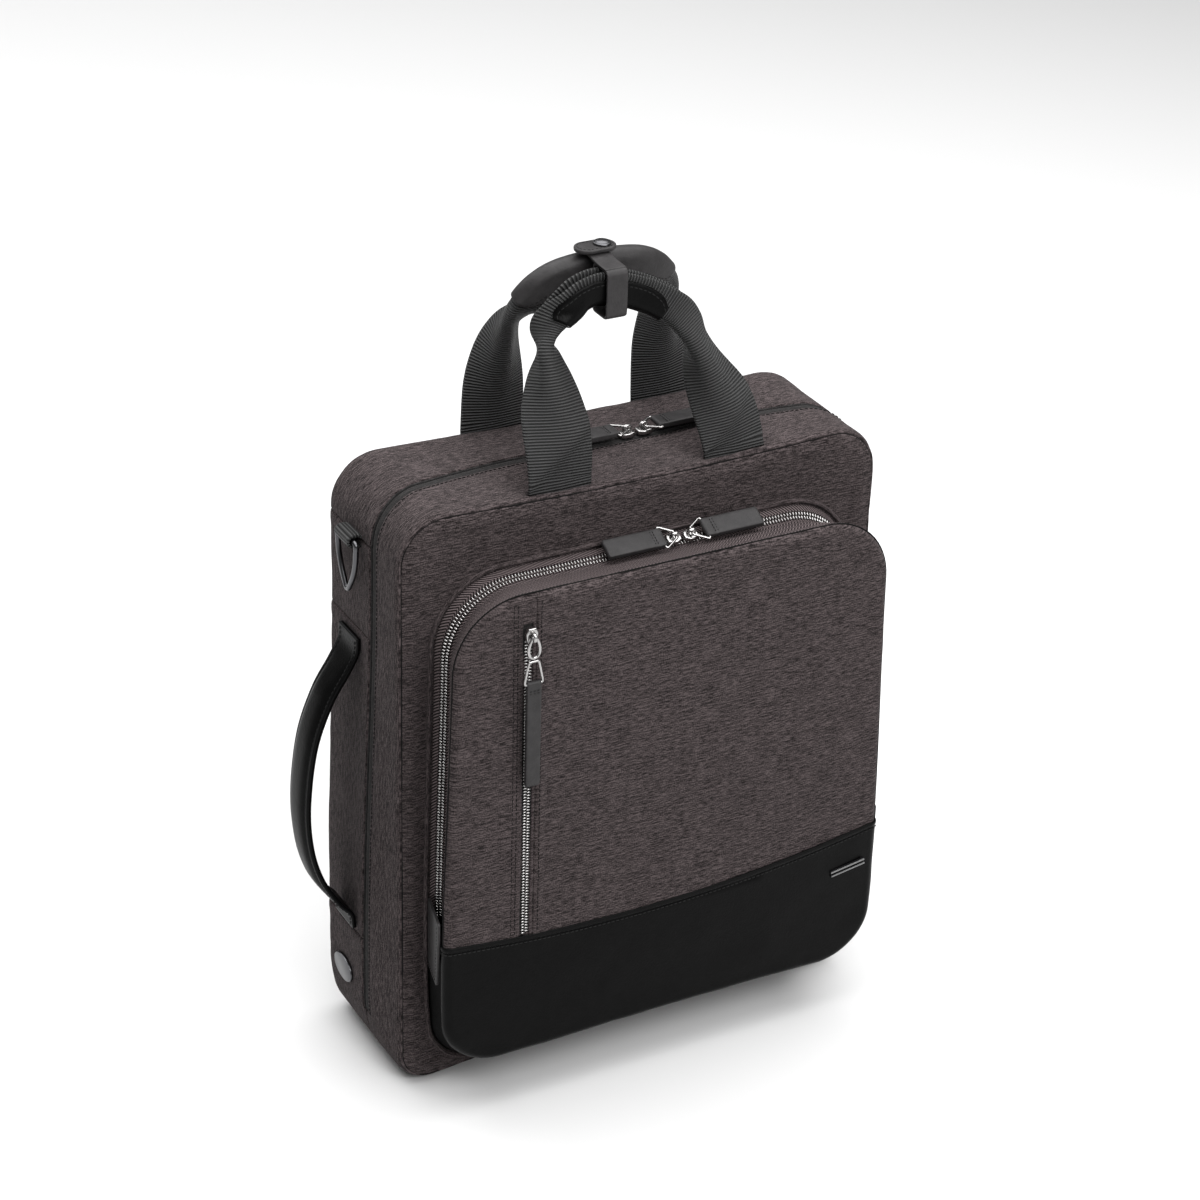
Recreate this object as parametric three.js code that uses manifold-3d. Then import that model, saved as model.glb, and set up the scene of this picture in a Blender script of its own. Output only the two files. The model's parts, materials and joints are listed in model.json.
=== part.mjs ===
// Convertible briefcase backpack, standing upright and zipped shut.
// Millimetres. +X is the viewer's right, the pocket side faces -Y, +Z is up.
// The origin is at the middle of the footprint, on the surface it stands on.

import * as THREE from 'three';
import { mergeVertices } from 'three/addons/utils/BufferGeometryUtils.js';
import Module from 'manifold-3d';

const wasm = await Module();
wasm.setup();

// Clearance between touching pieces
const gap = 0.3;

// Main compartment
const bodyWidth = 310;
const bodyHeight = 383;
const bodyDepth = 97.6;
const bodyTopRadius = 31;
const bodyBottomRadius = 22;
const frontWall = 3;
const backWall = 4.5;
const frontSeamRoll = 4.5;
const backSeamRoll = 9;
const faceRingInset = 62;
const backCrown = 5;
const gussetRowShare = 0.84;

// Softness of the filled main compartment
const topSag = 4;
const sideSwell = 5;
const baseLift = 1;
const baseArch = 7;
const baseFlatTo = 38.5;

// Main zip, over the top and down both sides
const mainZipWidth = 8;
const mainZipThickness = 1.6;
const mainZipRecess = 0.9;
const mainZipSideOffset = 16;
const mainZipSlope = 7;
const mainZipCurve = 95;
const mainZipEnd = 34;

// Front pocket
const pocketWidth = 269.2;
const pocketTop = 340.2;
const pocketBottom = 9.5;
const pocketDepth = 41.2;
const pocketLean = 1.6;
const pocketTopRadius = 43;
const pocketBottomRadius = 34;
const pocketFlare = 6.4;
const pocketTopFlare = 3.1;
const pocketEdgeRoll = 5;
const valleyDepth = 5.2;
const valleyReach = 11.2;
const pocketSwell = 3;
const pocketFrontSwell = 2.5;
const pocketCrown = 3;
const pocketArch = 5;
const clothThickness = 2;
const leatherThickness = 2;
const leatherProud = 0.5;
const leatherLine = { left: 123.6, middle: 118.6, right: 131 };

// Welt round the pocket zip
const weltWidth = 2.6;
const weltHeight = 1.9;

// Herringbone tape behind the chains
const tapeThickness = 1.2;

// Metal chains
const toothHeight = 1.9;
const pocketChain = { from: 0.4, to: 0.95 };
const slitChainWidth = 5;

// Slit zip on the pocket panel
const slit = { x: -95, width: 13, bottom: 124.5, top: 327, recess: 0.8 };

// Zip pulls: slider, wire ring and leather tab
const slider = { length: 9, width: 7.4, height: 3.2, bailWidth: 2.4, bailHeight: 4.2, bailLength: 5.6 };
const ringWire = 0.75;
const ringSides = 6;
const bailHole = ringWire + 0.8;
const bailCentre = slider.height + slider.bailHeight / 2;
const pairPull = { ringLength: 9, tabLength: 38, tabWidth: 12.5, tabThickness: 3.6 };
const slitPull = { ringLength: 14, tabLength: 68, tabWidth: 8.8, tabThickness: 3.4 };
const slitLink = { length: 13, width: 8.6, wire: 0.95, play: 0.32 };
const slitSliderTop = 326;
const pairCentre = 19;
const pairSpacing = 11;

// Leather corner tabs at the ends of the pocket zip
const cornerTab = { thickness: 1.8, top: 134, bottom: 86, taper: 7, skew: 5 };

// Plain plate and plain badge
const plate = { x: 127, z: 104, length: 24, height: 5.2, thickness: 1.3, tilt: 9 };
const badge = { y: 19.5, z: 48, length: 25, height: 16.5, thickness: 2.2 };

// Top handles
const webWidth = 40;
const webThickness = 2.1;
const apexHeight = { front: 107, rear: 105.5 };
const handleFootInset = 3.4;
const frontGripY = -17;
const rearGripY = 6;
const foldRadius = 3.3;
const gripWrap = { thickness: 1.5, side: 10.5, lowestRise: 0.85 };

// Snap strap between the grips
const snap = { x: -10, width: 13, thickness: 1.8, forward: 6.2, overRear: 0.62 };
const snapTab = { length: 25, width: 15, thickness: 2.4, capShift: 4.5 };
const snapCapRadius = 5.2;

// Leather handle on the left side
const sideHandle = { y: 12, top: 286, bottom: 89, bow: 30, width: 25, thickness: 3, padding: 2.4 };

// Shoulder strap rings
const dRing = { y: 7.4, z: 350, width: 26, height: 36, wire: 1.6, standoff: 5.4 };
const ringLoop = { width: 18, thickness: 2, clearance: 0.5 };

// Colours and finishes
const finishes = {
  cloth: { color: 0x4a4143, roughness: 0.9, metalness: 0 },
  tape: { color: 0x3a3334, roughness: 0.85, metalness: 0 },
  leather: { color: 0x1b1a1a, roughness: 0.5, metalness: 0 },
  webbing: { color: 0x262727, roughness: 0.75, metalness: 0 },
  nickel: { color: 0xc9cacc, roughness: 0.25, metalness: 1 },
  gunmetal: { color: 0x1d1e20, roughness: 0.35, metalness: 0.8 },
};

const model = new THREE.Group();

// Basic numbers

function clamp01(value) {
  return Math.min(1, Math.max(0, value));
}

function smooth(value, low, high) {
  const t = clamp01((value - low) / (high - low));
  return t * t * (3 - 2 * t);
}

function mix(a, b, t) {
  return a + (b - a) * t;
}

function steps(low, high, count) {
  return Array.from({ length: count + 1 }, (_, i) => mix(low, high, i / count));
}

// Meshes and solids

function addPiece(name, geometry, finish) {
  const mesh = new THREE.Mesh(geometry, new THREE.MeshStandardMaterial(finishes[finish]));
  mesh.name = name;
  model.add(mesh);
  return mesh;
}

function volumeOf(points, faces) {
  let total = 0;
  for (const [a, b, c] of faces) {
    total += points[a].dot(new THREE.Vector3().crossVectors(points[b], points[c]));
  }
  return total / 6;
}

function geometryFrom(points, faces) {
  const flip = volumeOf(points, faces) < 0;
  const geometry = new THREE.BufferGeometry();
  const flat = points.flatMap((p) => [p.x, p.y, p.z]);
  geometry.setAttribute('position', new THREE.Float32BufferAttribute(flat, 3));
  geometry.setIndex(faces.flatMap(([a, b, c]) => (flip ? [a, c, b] : [a, b, c])));
  geometry.computeVertexNormals();
  return geometry;
}

// A closed wall between two nets of points with the same rows and columns.
// A closed net joins its last column to its first; a capped one ends in a pole.
function netSolid(outer, inner, { closed = false, poles = null } = {}) {
  const rows = outer.length;
  const columns = outer[0].length;
  const points = [...outer.flat(), ...inner.flat()];
  const faces = [];
  const at = (side, row, column) => (side * rows + row) * columns + (column % columns);
  const quad = (a, b, c, d) => faces.push([a, b, c], [a, c, d]);
  const spans = closed ? columns : columns - 1;
  for (let row = 0; row + 1 < rows; row += 1) {
    for (let column = 0; column < spans; column += 1) {
      quad(at(0, row, column), at(0, row, column + 1), at(0, row + 1, column + 1), at(0, row + 1, column));
      quad(at(1, row + 1, column), at(1, row + 1, column + 1), at(1, row, column + 1), at(1, row, column));
    }
  }
  for (let column = 0; column < spans; column += 1) {
    quad(at(1, 0, column), at(1, 0, column + 1), at(0, 0, column + 1), at(0, 0, column));
    if (poles) {
      faces.push([at(0, rows - 1, column), at(0, rows - 1, column + 1), points.length]);
      faces.push([at(1, rows - 1, column + 1), at(1, rows - 1, column), points.length + 1]);
    } else {
      const last = rows - 1;
      quad(at(0, last, column), at(0, last, column + 1), at(1, last, column + 1), at(1, last, column));
    }
  }
  if (!closed) {
    const last = columns - 1;
    for (let row = 0; row + 1 < rows; row += 1) {
      quad(at(0, row, 0), at(0, row + 1, 0), at(1, row + 1, 0), at(1, row, 0));
      quad(at(1, row, last), at(1, row + 1, last), at(0, row + 1, last), at(0, row, last));
    }
  }
  if (poles) {
    points.push(...poles);
  }
  return geometryFrom(points, faces);
}

// A round wire bent along a closed flat path
function wireLoop(path, normal, radius, sides) {
  const count = path.length;
  const rings = path.map((point, i) => {
    const along = path[(i + 1) % count].clone().sub(path[(i + count - 1) % count]).normalize();
    const across = new THREE.Vector3().crossVectors(along, normal).normalize();
    return Array.from({ length: sides }, (_, k) => {
      const angle = (2 * Math.PI * k) / sides;
      const offset = across.clone().multiplyScalar(radius * Math.cos(angle));
      return point.clone().add(offset).addScaledVector(normal, radius * Math.sin(angle));
    });
  });
  const faces = [];
  for (let i = 0; i < count; i += 1) {
    for (let k = 0; k < sides; k += 1) {
      const a = i * sides + k;
      const b = ((i + 1) % count) * sides + k;
      const c = ((i + 1) % count) * sides + ((k + 1) % sides);
      const d = i * sides + ((k + 1) % sides);
      faces.push([a, b, c], [a, c, d]);
    }
  }
  return geometryFrom(rings.flat(), faces);
}

function toManifold(geometry) {
  const bare = geometry.clone();
  bare.deleteAttribute('normal');
  bare.deleteAttribute('uv');
  const merged = mergeVertices(bare, 1e-4);
  return new wasm.Manifold(new wasm.Mesh({
    numProp: 3,
    vertProperties: Float32Array.from(merged.attributes.position.array),
    triVerts: Uint32Array.from(merged.index.array),
  }));
}

function fromManifold(solid) {
  const mesh = solid.getMesh();
  const geometry = new THREE.BufferGeometry();
  const positions = Float32Array.from(mesh.vertProperties);
  geometry.setAttribute('position', new THREE.BufferAttribute(positions, 3));
  geometry.setIndex(Array.from(mesh.triVerts));
  geometry.computeVertexNormals();
  return geometry;
}

function boxBetween(low, high) {
  const size = high.map((value, i) => value - low[i]);
  const box = new THREE.BoxGeometry(...size);
  box.translate(...high.map((value, i) => (value + low[i]) / 2));
  return box;
}

// A flat outline in X and Z pushed from one Y to another
function extrudeY(shape, from, to) {
  const depth = to - from;
  const solid = new THREE.ExtrudeGeometry(shape, { depth, bevelEnabled: false, curveSegments: 10 });
  solid.rotateX(Math.PI / 2);
  solid.translate(0, to, 0);
  return solid;
}

// Where a straight line from outside first meets a piece
function surfacePoint(mesh, from, direction) {
  const ray = new THREE.Raycaster(new THREE.Vector3(...from), new THREE.Vector3(...direction));
  return ray.intersectObject(mesh, false)[0].point;
}

// A piece modelled along local u, v and n, set down at a place
function placeAt(geometry, origin, along, outward) {
  const across = new THREE.Vector3().crossVectors(outward, along);
  const matrix = new THREE.Matrix4().makeBasis(along, across, outward);
  matrix.setPosition(origin);
  return geometry.applyMatrix4(matrix);
}

// Outlines

// A rounded rectangle in X and Z as a ring of points. It starts at the middle of
// the bottom and goes round by the right side, the top and the left side. A point
// on each side lies exactly at the height where a zip ends.
const ringDivisions = { bottom: 3, corner: 5, belowStop: 2, aboveStop: 4, top: 6 };
const shortestSide = 6;

function outlineRing(section, stops) {
  const { half, bottom, top, topRadius, bottomRadius } = section;
  const centre = section.centre ?? 0;
  const { bottom: low, corner, belowStop, aboveStop, top: high } = ringDivisions;
  const foot = bottom + bottomRadius;
  const side = (stop) => [
    ...steps(foot, Math.max(stop, foot + shortestSide), belowStop),
    ...steps(Math.max(stop, foot + shortestSide), top - topRadius, aboveStop).slice(1),
  ];
  const arc = (cx, cz, radius, start) => steps(start, start + Math.PI / 2, corner).slice(1, -1)
    .map((angle) => [cx + radius * Math.cos(angle), cz + radius * Math.sin(angle)]);
  const ring = [
    ...steps(0, half - bottomRadius, low).map((x) => [x, bottom]),
    ...arc(half - bottomRadius, bottom + bottomRadius, bottomRadius, -Math.PI / 2),
    ...side(stops.right).map((z) => [half, z]),
    ...arc(half - topRadius, top - topRadius, topRadius, 0),
    ...steps(half - topRadius, topRadius - half, high).map((x) => [x, top]),
    ...arc(topRadius - half, top - topRadius, topRadius, Math.PI / 2),
    ...side(stops.left).reverse().map((z) => [-half, z]),
    ...arc(bottomRadius - half, bottom + bottomRadius, bottomRadius, Math.PI),
    ...steps(bottomRadius - half, 0, low).slice(0, -1).map((x) => [x, bottom]),
  ];
  return ring.map(([x, z]) => new THREE.Vector3(x + centre, 0, z));
}

const firstCorner = ringDivisions.bottom;
const rightStopIndex = firstCorner + ringDivisions.corner + ringDivisions.belowStop;
const ringSize = 2 * (ringDivisions.bottom + ringDivisions.belowStop + ringDivisions.aboveStop)
  + 4 * ringDivisions.corner + ringDivisions.top;
const leftStopIndex = ringSize - rightStopIndex;

function insetSection(section, inset) {
  return {
    ...section,
    half: section.half - inset,
    bottom: section.bottom + inset,
    top: section.top - inset,
    topRadius: Math.max(section.topRadius - inset, 4),
    bottomRadius: Math.max(section.bottomRadius - inset, 4),
  };
}

// The filled cloth: the top sags between its corners, the sides swell low down,
// and the front edge of the base is lifted and arched.
function softenBody(point) {
  const across = point.x / (bodyWidth / 2);
  const span = Math.max(0, 1 - across * across);
  const sag = topSag * span * smooth(point.z, bodyHeight * 0.8, bodyHeight);
  const low = smooth(point.z, 0, 45) * (1 - smooth(point.z, 90, bodyHeight * 0.85));
  const behindSeam = smooth(point.y, -bodyDepth / 2, -bodyDepth / 6);
  const nearFront = smooth(-point.y, baseFlatTo, bodyDepth * 0.48);
  const lift = (baseLift + baseArch * span) * nearFront * (1 - smooth(point.z, 0, 70));
  return new THREE.Vector3(
    point.x + across * sideSwell * low * behindSeam,
    point.y,
    point.z - sag + lift,
  );
}

// Main compartment shells

const bodySection = {
  half: bodyWidth / 2,
  bottom: 0,
  top: bodyHeight,
  topRadius: bodyTopRadius,
  bottomRadius: bodyBottomRadius,
};
const bodyStops = { left: mainZipEnd, right: mainZipEnd };

// The zip lies in the middle of the top and nearer the front down the sides
function mainZipLine(point) {
  if (point.z < bodyHeight - bodyTopRadius) {
    return mainZipSlope * (1 - point.z / bodyHeight) - mainZipSideOffset;
  }
  const start = bodyWidth / 2 - mainZipCurve;
  const turn = clamp01((Math.abs(point.x) - start) / mainZipCurve);
  return -mainZipSideOffset * turn ** 1.5;
}

// The back carries the padding against the wearer, so its wall is the thicker one
function wallOf(face) {
  return face > 0 ? backWall : frontWall;
}

// Rows from the rim at the zip, round the seam and onto the flat face
function shellRows(face, roll, layer) {
  const sign = Math.sign(face);
  const wall = layer === 'inner' ? wallOf(face) : 0;
  const base = outlineRing(bodySection, bodyStops);
  const rimY = base.map((point, i) => {
    const zipped = i >= rightStopIndex && i <= leftStopIndex;
    return mainZipLine(point) + sign * (zipped ? mainZipWidth / 2 : gap / 2);
  });
  const rollStart = face - sign * roll;
  const ringAt = (inset, y) => outlineRing(insetSection(bodySection, inset), bodyStops)
    .map((point, i) => softenBody(point.setY(typeof y === 'function' ? y(i) : y)));
  const radius = roll - wall;
  const rollRows = [0, 40, 90].map((degrees) => {
    const angle = THREE.MathUtils.degToRad(degrees);
    return ringAt(roll - radius * Math.cos(angle), rollStart + sign * radius * Math.sin(angle));
  });
  return [
    ringAt(wall, (i) => rimY[i]),
    ringAt(wall, (i) => mix(rimY[i], rollStart, gussetRowShare)),
    ...rollRows,
    ringAt(faceRingInset, face - sign * wall),
  ];
}

function shellGeometry(face, roll, crown) {
  const sign = Math.sign(face);
  const middle = (bodySection.top + bodySection.bottom) / 2;
  const outer = shellRows(face, roll, 'outer');
  const inner = shellRows(face, roll, 'inner');
  for (const rows of [outer, inner]) {
    rows.at(-1).forEach((point) => point.setY(point.y + sign * crown * 0.8));
  }
  const poles = [
    new THREE.Vector3(0, face + sign * crown, middle),
    new THREE.Vector3(0, face + sign * (crown - wallOf(face)), middle),
  ];
  return netSolid(outer, inner, { closed: true, poles });
}

const frontY = -bodyDepth / 2;
const backY = bodyDepth / 2;

const frontShell = addPiece('front_shell', shellGeometry(frontY, frontSeamRoll, 0), 'cloth');
const backShell = addPiece('back_shell', shellGeometry(backY, backSeamRoll, backCrown), 'cloth');

// Main zip band

function mainZipRows(depth) {
  const half = mainZipWidth / 2 - gap;
  const ring = outlineRing(insetSection(bodySection, depth), bodyStops);
  const line = outlineRing(bodySection, bodyStops).map(mainZipLine);
  return [-half, half].map((offset) => ring
    .map((point, i) => softenBody(point.clone().setY(line[i] + offset)))
    .slice(rightStopIndex, leftStopIndex + 1));
}

const mainZipBand = netSolid(mainZipRows(mainZipRecess), mainZipRows(mainZipRecess + mainZipThickness));
addPiece('main_zip_tape', mainZipBand, 'tape');

// Front pocket

const pocketHalf = pocketWidth / 2;
const pocketFace = frontY - pocketDepth;
const pocketStops = { left: leatherLine.left + gap, right: leatherLine.right + gap };

// Sections of the pocket wall from the body to the front edge, as departures
// from the outline where the pocket meets the body
const pocketSections = [
  { name: 'rim', reach: 2 * gap, grow: 0, growTop: 0, rise: 0 },
  { name: 'valley', reach: valleyReach, grow: -valleyDepth, growTop: -valleyDepth, rise: 7.5 },
  {
    name: 'edge',
    reach: pocketDepth - pocketEdgeRoll,
    grow: pocketFlare,
    growTop: pocketTopFlare,
    rise: 24.5,
  },
];

function pocketSection({ grow, growTop, rise }) {
  return {
    centre: pocketLean,
    half: pocketHalf + grow,
    bottom: pocketBottom + rise,
    top: pocketTop + growTop,
    topRadius: pocketTopRadius,
    bottomRadius: pocketBottomRadius,
  };
}

// The filled pocket: its sides swell towards the leather and its front is crowned
function softenPocket(point) {
  const out = clamp01((frontY - point.y) / pocketDepth);
  const across = (point.x - pocketLean) / pocketHalf;
  const span = clamp01(1 - across * across);
  const low = smooth(point.z, 0, 80) * (1 - smooth(point.z, 110, pocketTop * 0.95));
  const crowned = smooth(out, 0.55, 0.94) * span;
  const arch = pocketArch * span * (1 - smooth(point.z, 0, 70));
  const crown = pocketCrown * crowned * smooth(point.z, 20, 110) * (1 - smooth(point.z, 200, pocketTop));
  return new THREE.Vector3(
    point.x + across * (pocketSwell + pocketFrontSwell * out) * low,
    point.y - crown,
    point.z + arch,
  );
}

function pocketRing(section, y, inset) {
  const ring = outlineRing(insetSection(section, inset), pocketStops);
  return ring.map((point) => softenPocket(point.setY(y)));
}

function pocketWallRow(name, inset) {
  const row = pocketSections.find((section) => section.name === name);
  return pocketRing(pocketSection(row), frontY - row.reach, inset);
}

// The rolled front edge and the face, as rings towards the middle
function pocketFrontRows(inset) {
  const edge = pocketSection(pocketSections.find((section) => section.name === 'edge'));
  const radius = pocketEdgeRoll - inset;
  const rolled = [0, 45, 90].map((degrees) => {
    const angle = THREE.MathUtils.degToRad(degrees);
    const y = pocketFace + pocketEdgeRoll - radius * Math.sin(angle);
    return pocketRing(edge, y, pocketEdgeRoll - radius * Math.cos(angle));
  });
  const faceY = pocketFace + inset;
  return [...rolled, pocketRing(edge, faceY, 32), pocketRing(edge, faceY, 82)];
}

function pocketTray(wallNames, thickness, proud) {
  const outer = [...wallNames.map((name) => pocketWallRow(name, -proud)), ...pocketFrontRows(-proud)];
  const inner = [
    ...wallNames.map((name) => pocketWallRow(name, thickness - proud)),
    ...pocketFrontRows(thickness - proud),
  ];
  const middle = (pocketTop + pocketBottom) / 2;
  const pole = (depth) => softenPocket(new THREE.Vector3(pocketLean, pocketFace + depth, middle));
  const poles = [pole(-proud), pole(thickness - proud)];
  return toManifold(netSolid(outer, inner, { closed: true, poles }));
}

// The curved line where cloth and leather meet, as a cutter on either side of it
function leatherCutter(above, clearance) {
  const reach = bodyWidth;
  const half = pocketHalf + pocketFlare;
  const bend = 2 * leatherLine.middle - (leatherLine.left + leatherLine.right) / 2 + clearance;
  const shape = new THREE.Shape();
  shape.moveTo(-reach, leatherLine.left + clearance);
  shape.lineTo(pocketLean - half, leatherLine.left + clearance);
  shape.quadraticCurveTo(pocketLean, bend, pocketLean + half, leatherLine.right + clearance);
  shape.lineTo(reach, leatherLine.right + clearance);
  shape.lineTo(reach, above ? 2 * bodyHeight : -bodyHeight);
  shape.lineTo(-reach, above ? 2 * bodyHeight : -bodyHeight);
  const cutter = extrudeY(shape, -bodyHeight, bodyHeight);
  return toManifold(cutter);
}

const slitBox = toManifold(boxBetween(
  [slit.x - slit.width / 2, -bodyHeight, slit.bottom],
  [slit.x + slit.width / 2, 0, slit.top],
));
const frontTray = pocketTray([], clothThickness, 0);
const panelSolid = frontTray.intersect(leatherCutter(true, gap)).subtract(slitBox);
const panel = addPiece('pocket_panel', fromManifold(panelSolid), 'cloth');

const leatherTray = pocketTray(['rim', 'valley'], leatherThickness, leatherProud);
const leatherSolid = leatherTray.intersect(leatherCutter(false, 0));
const leather = addPiece('leather_base', fromManifold(leatherSolid), 'leather');

// Herringbone tape from the welt down into the valley and up to the panel edge
function tapeRows(inset) {
  const edge = pocketSections.find((section) => section.name === 'edge');
  return [
    pocketWallRow('rim', inset),
    pocketWallRow('valley', inset),
    pocketRing(pocketSection(edge), frontY - edge.reach + gap, inset),
  ].map((ring) => ring.slice(rightStopIndex, leftStopIndex + 1));
}

const outerTape = tapeRows(0);
addPiece('pocket_zip_tape', netSolid(outerTape, tapeRows(tapeThickness)), 'tape');

// A raised strip that follows a wall between two of its rows
function stripOnWall(rowA, rowB, from, to, lift, height) {
  const outwardAt = (i) => {
    const before = rowA[Math.max(0, i - 1)];
    const after = rowA[Math.min(rowA.length - 1, i + 1)];
    const along = after.clone().sub(before);
    return new THREE.Vector3().crossVectors(along, rowB[i].clone().sub(rowA[i])).normalize();
  };
  const rowAt = (share, distance) => rowA
    .map((point, i) => point.clone().lerp(rowB[i], share).addScaledVector(outwardAt(i), distance));
  const outer = [rowAt(from, lift + height), rowAt(to, lift + height)];
  const inner = [rowAt(from, lift), rowAt(to, lift)];
  return netSolid(outer, inner);
}

const { from: chainFrom, to: chainTo } = pocketChain;
const chainStrip = stripOnWall(outerTape[0], outerTape[1], chainFrom, chainTo, gap, toothHeight);
addPiece('pocket_zip_teeth', chainStrip, 'nickel');

// Folded welt standing on the body round the pocket
function weltRow(grow, height) {
  const rim = pocketSection(pocketSections[0]);
  const ring = outlineRing(insetSection(rim, -grow), pocketStops);
  const y = frontY - gap - height;
  return ring.map((point) => softenPocket(point.setY(frontY)).setY(y))
    .slice(firstCorner + 1, ringSize - firstCorner);
}

const weltShares = [0, 0.5, 1];
const weltNear = leatherProud + 2 * gap;
const weltRise = [0.6, 1, 0.6];
const weltAt = (share) => weltNear + weltWidth * share;
const weltOuter = weltShares.map((share, i) => weltRow(weltAt(share), weltHeight * weltRise[i]));
const weltInner = weltShares.map((share) => weltRow(weltAt(share), 0));
addPiece('pocket_welt', netSolid(weltOuter, weltInner), 'cloth');

// Slit zip: a tape set into the panel with its chain standing on it
function slitStrip(width, shift, top) {
  const low = [slit.x - width / 2, -bodyHeight, slit.bottom + gap];
  const high = [slit.x + width / 2, 0, top];
  return fromManifold(frontTray.translate([0, shift, 0]).intersect(toManifold(boxBetween(low, high))));
}

const slitChainShift = slit.recess - gap - clothThickness;
addPiece('slit_zip_tape', slitStrip(slit.width - 2 * gap, slit.recess, slit.top - gap), 'tape');
const slitChainTop = slitSliderTop - slider.length;
addPiece('slit_zip_teeth', slitStrip(slitChainWidth, slitChainShift, slitChainTop), 'nickel');

// Zip pulls

// The slider is a waisted block with a bail on top, pierced for the ring
function sliderGeometry() {
  const shape = new THREE.Shape();
  const halfLength = slider.length / 2;
  const halfWidth = slider.width / 2;
  shape.moveTo(-halfLength, -halfWidth * 0.7);
  shape.lineTo(-halfLength * 0.3, -halfWidth);
  shape.lineTo(halfLength, -halfWidth * 0.8);
  shape.lineTo(halfLength, halfWidth * 0.8);
  shape.lineTo(-halfLength * 0.3, halfWidth);
  shape.lineTo(-halfLength, halfWidth * 0.7);
  const block = new THREE.ExtrudeGeometry(shape, { depth: slider.height, bevelEnabled: false });
  const bail = boxBetween(
    [-slider.bailLength / 2, -slider.bailWidth / 2, slider.height / 2],
    [slider.bailLength / 2, slider.bailWidth / 2, slider.height + slider.bailHeight],
  );
  const hole = new THREE.CylinderGeometry(bailHole, bailHole, slider.width * 2, 10);
  hole.translate(0, 0, bailCentre);
  return fromManifold(toManifold(block).add(toManifold(bail)).subtract(toManifold(hole)));
}

// A wire ring, narrow at the slider and as wide as the leather tab at its far end
function ringPath(length, nearHalf, farHalf) {
  const corner = 1.6 * ringWire;
  return [
    [0, -nearHalf], [corner / 2, -nearHalf - corner / 2],
    [length - corner, -farHalf], [length, -farHalf + corner],
    [length, farHalf - corner], [length - corner, farHalf],
    [corner / 2, nearHalf + corner / 2], [0, nearHalf],
  ].map(([u, v]) => new THREE.Vector3(u, v, 0));
}

// A leather tab folded round the ring: a long flat block, pierced at its near end
function tabGeometry({ tabLength, tabWidth, tabThickness }) {
  const r = tabThickness / 2;
  const shape = new THREE.Shape();
  shape.absarc(0, 0, r, Math.PI / 2, (3 * Math.PI) / 2, false);
  shape.lineTo(tabLength - r, -r);
  shape.lineTo(tabLength - r, r);
  const hole = new THREE.Path();
  hole.absarc(0, 0, ringWire + gap, 0, 2 * Math.PI, true);
  shape.holes.push(hole);
  const tab = new THREE.ExtrudeGeometry(shape, { depth: tabWidth, bevelEnabled: false, curveSegments: 5 });
  tab.rotateX(Math.PI / 2);
  tab.translate(0, tabWidth / 2, 0);
  return tab;
}

function addPull(prefix, suffix, origin, along, outward, sizes, ringStart) {
  const name = (piece) => `${prefix}_${piece}${suffix}`;
  addPiece(name('slider'), placeAt(sliderGeometry(), origin, along, outward), 'nickel');
  const ringOrigin = origin.clone().addScaledVector(outward, bailCentre).addScaledVector(along, ringStart);
  const nearHalf = slider.bailWidth / 2 + gap + ringWire;
  const farHalf = sizes.tabWidth / 2 + gap + 2 * ringWire;
  const path = ringPath(sizes.ringLength, nearHalf, farHalf);
  const ring = wireLoop(path, new THREE.Vector3(0, 0, 1), ringWire, ringSides);
  addPiece(name('ring'), placeAt(ring, ringOrigin, along, outward), 'nickel');
  const tabOrigin = ringOrigin.clone().addScaledVector(along, sizes.ringLength);
  addPiece(name('tab'), placeAt(tabGeometry(sizes), tabOrigin, along, outward), 'leather');
}

// Two sliders meet near the middle of a zip, and their tabs point apart
function addPullPair(prefix, baseAt, outward) {
  for (const [suffix, sign] of [['_left', -1], ['_right', 1]]) {
    const x = pairCentre + (sign * pairSpacing) / 2;
    const along = new THREE.Vector3(sign, 0, 0);
    addPull(prefix, suffix, baseAt(x), along, outward, pairPull, 0);
  }
}

const chainTilt = Math.atan2(valleyDepth, valleyReach - 2 * gap);
const chainOutward = new THREE.Vector3(0, -Math.sin(chainTilt), Math.cos(chainTilt));
const chainShare = (pocketChain.from + pocketChain.to) / 2;
addPullPair('pocket_zip', (x) => new THREE.Vector3(
  x,
  mix(frontY - 2 * gap, frontY - valleyReach, chainShare),
  pocketTop - valleyDepth * chainShare,
).addScaledVector(chainOutward, 2 * gap + toothHeight), chainOutward);

addPullPair('main_zip', (x) => {
  const y = mainZipLine(new THREE.Vector3(x, 0, bodyHeight));
  const top = Math.max(
    surfacePoint(frontShell, [x, y - mainZipWidth / 2 - 1, 2 * bodyHeight], [0, 0, -1]).z,
    surfacePoint(backShell, [x, y + mainZipWidth / 2 + 1, 2 * bodyHeight], [0, 0, -1]).z,
  );
  return new THREE.Vector3(x, y, top + 2 * gap);
}, new THREE.Vector3(0, 0, 1));

const slitFace = Math.min(...[slit.top, slit.top - 60, slit.top - 120].map((z) => (
  surfacePoint(panel, [slit.x + slit.width, -bodyHeight, z], [0, 1, 0]).y)));
const slitOrigin = new THREE.Vector3(
  slit.x,
  slitFace - 2 * gap,
  slitSliderTop - slider.length / 2,
);
const down = new THREE.Vector3(0, 0, -1);
const forward = new THREE.Vector3(0, -1, 0);
const linkReach = slitLink.length + slitLink.wire + ringWire + gap;
addPull('slit_zip', '', slitOrigin, down, forward, slitPull, linkReach);

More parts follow.
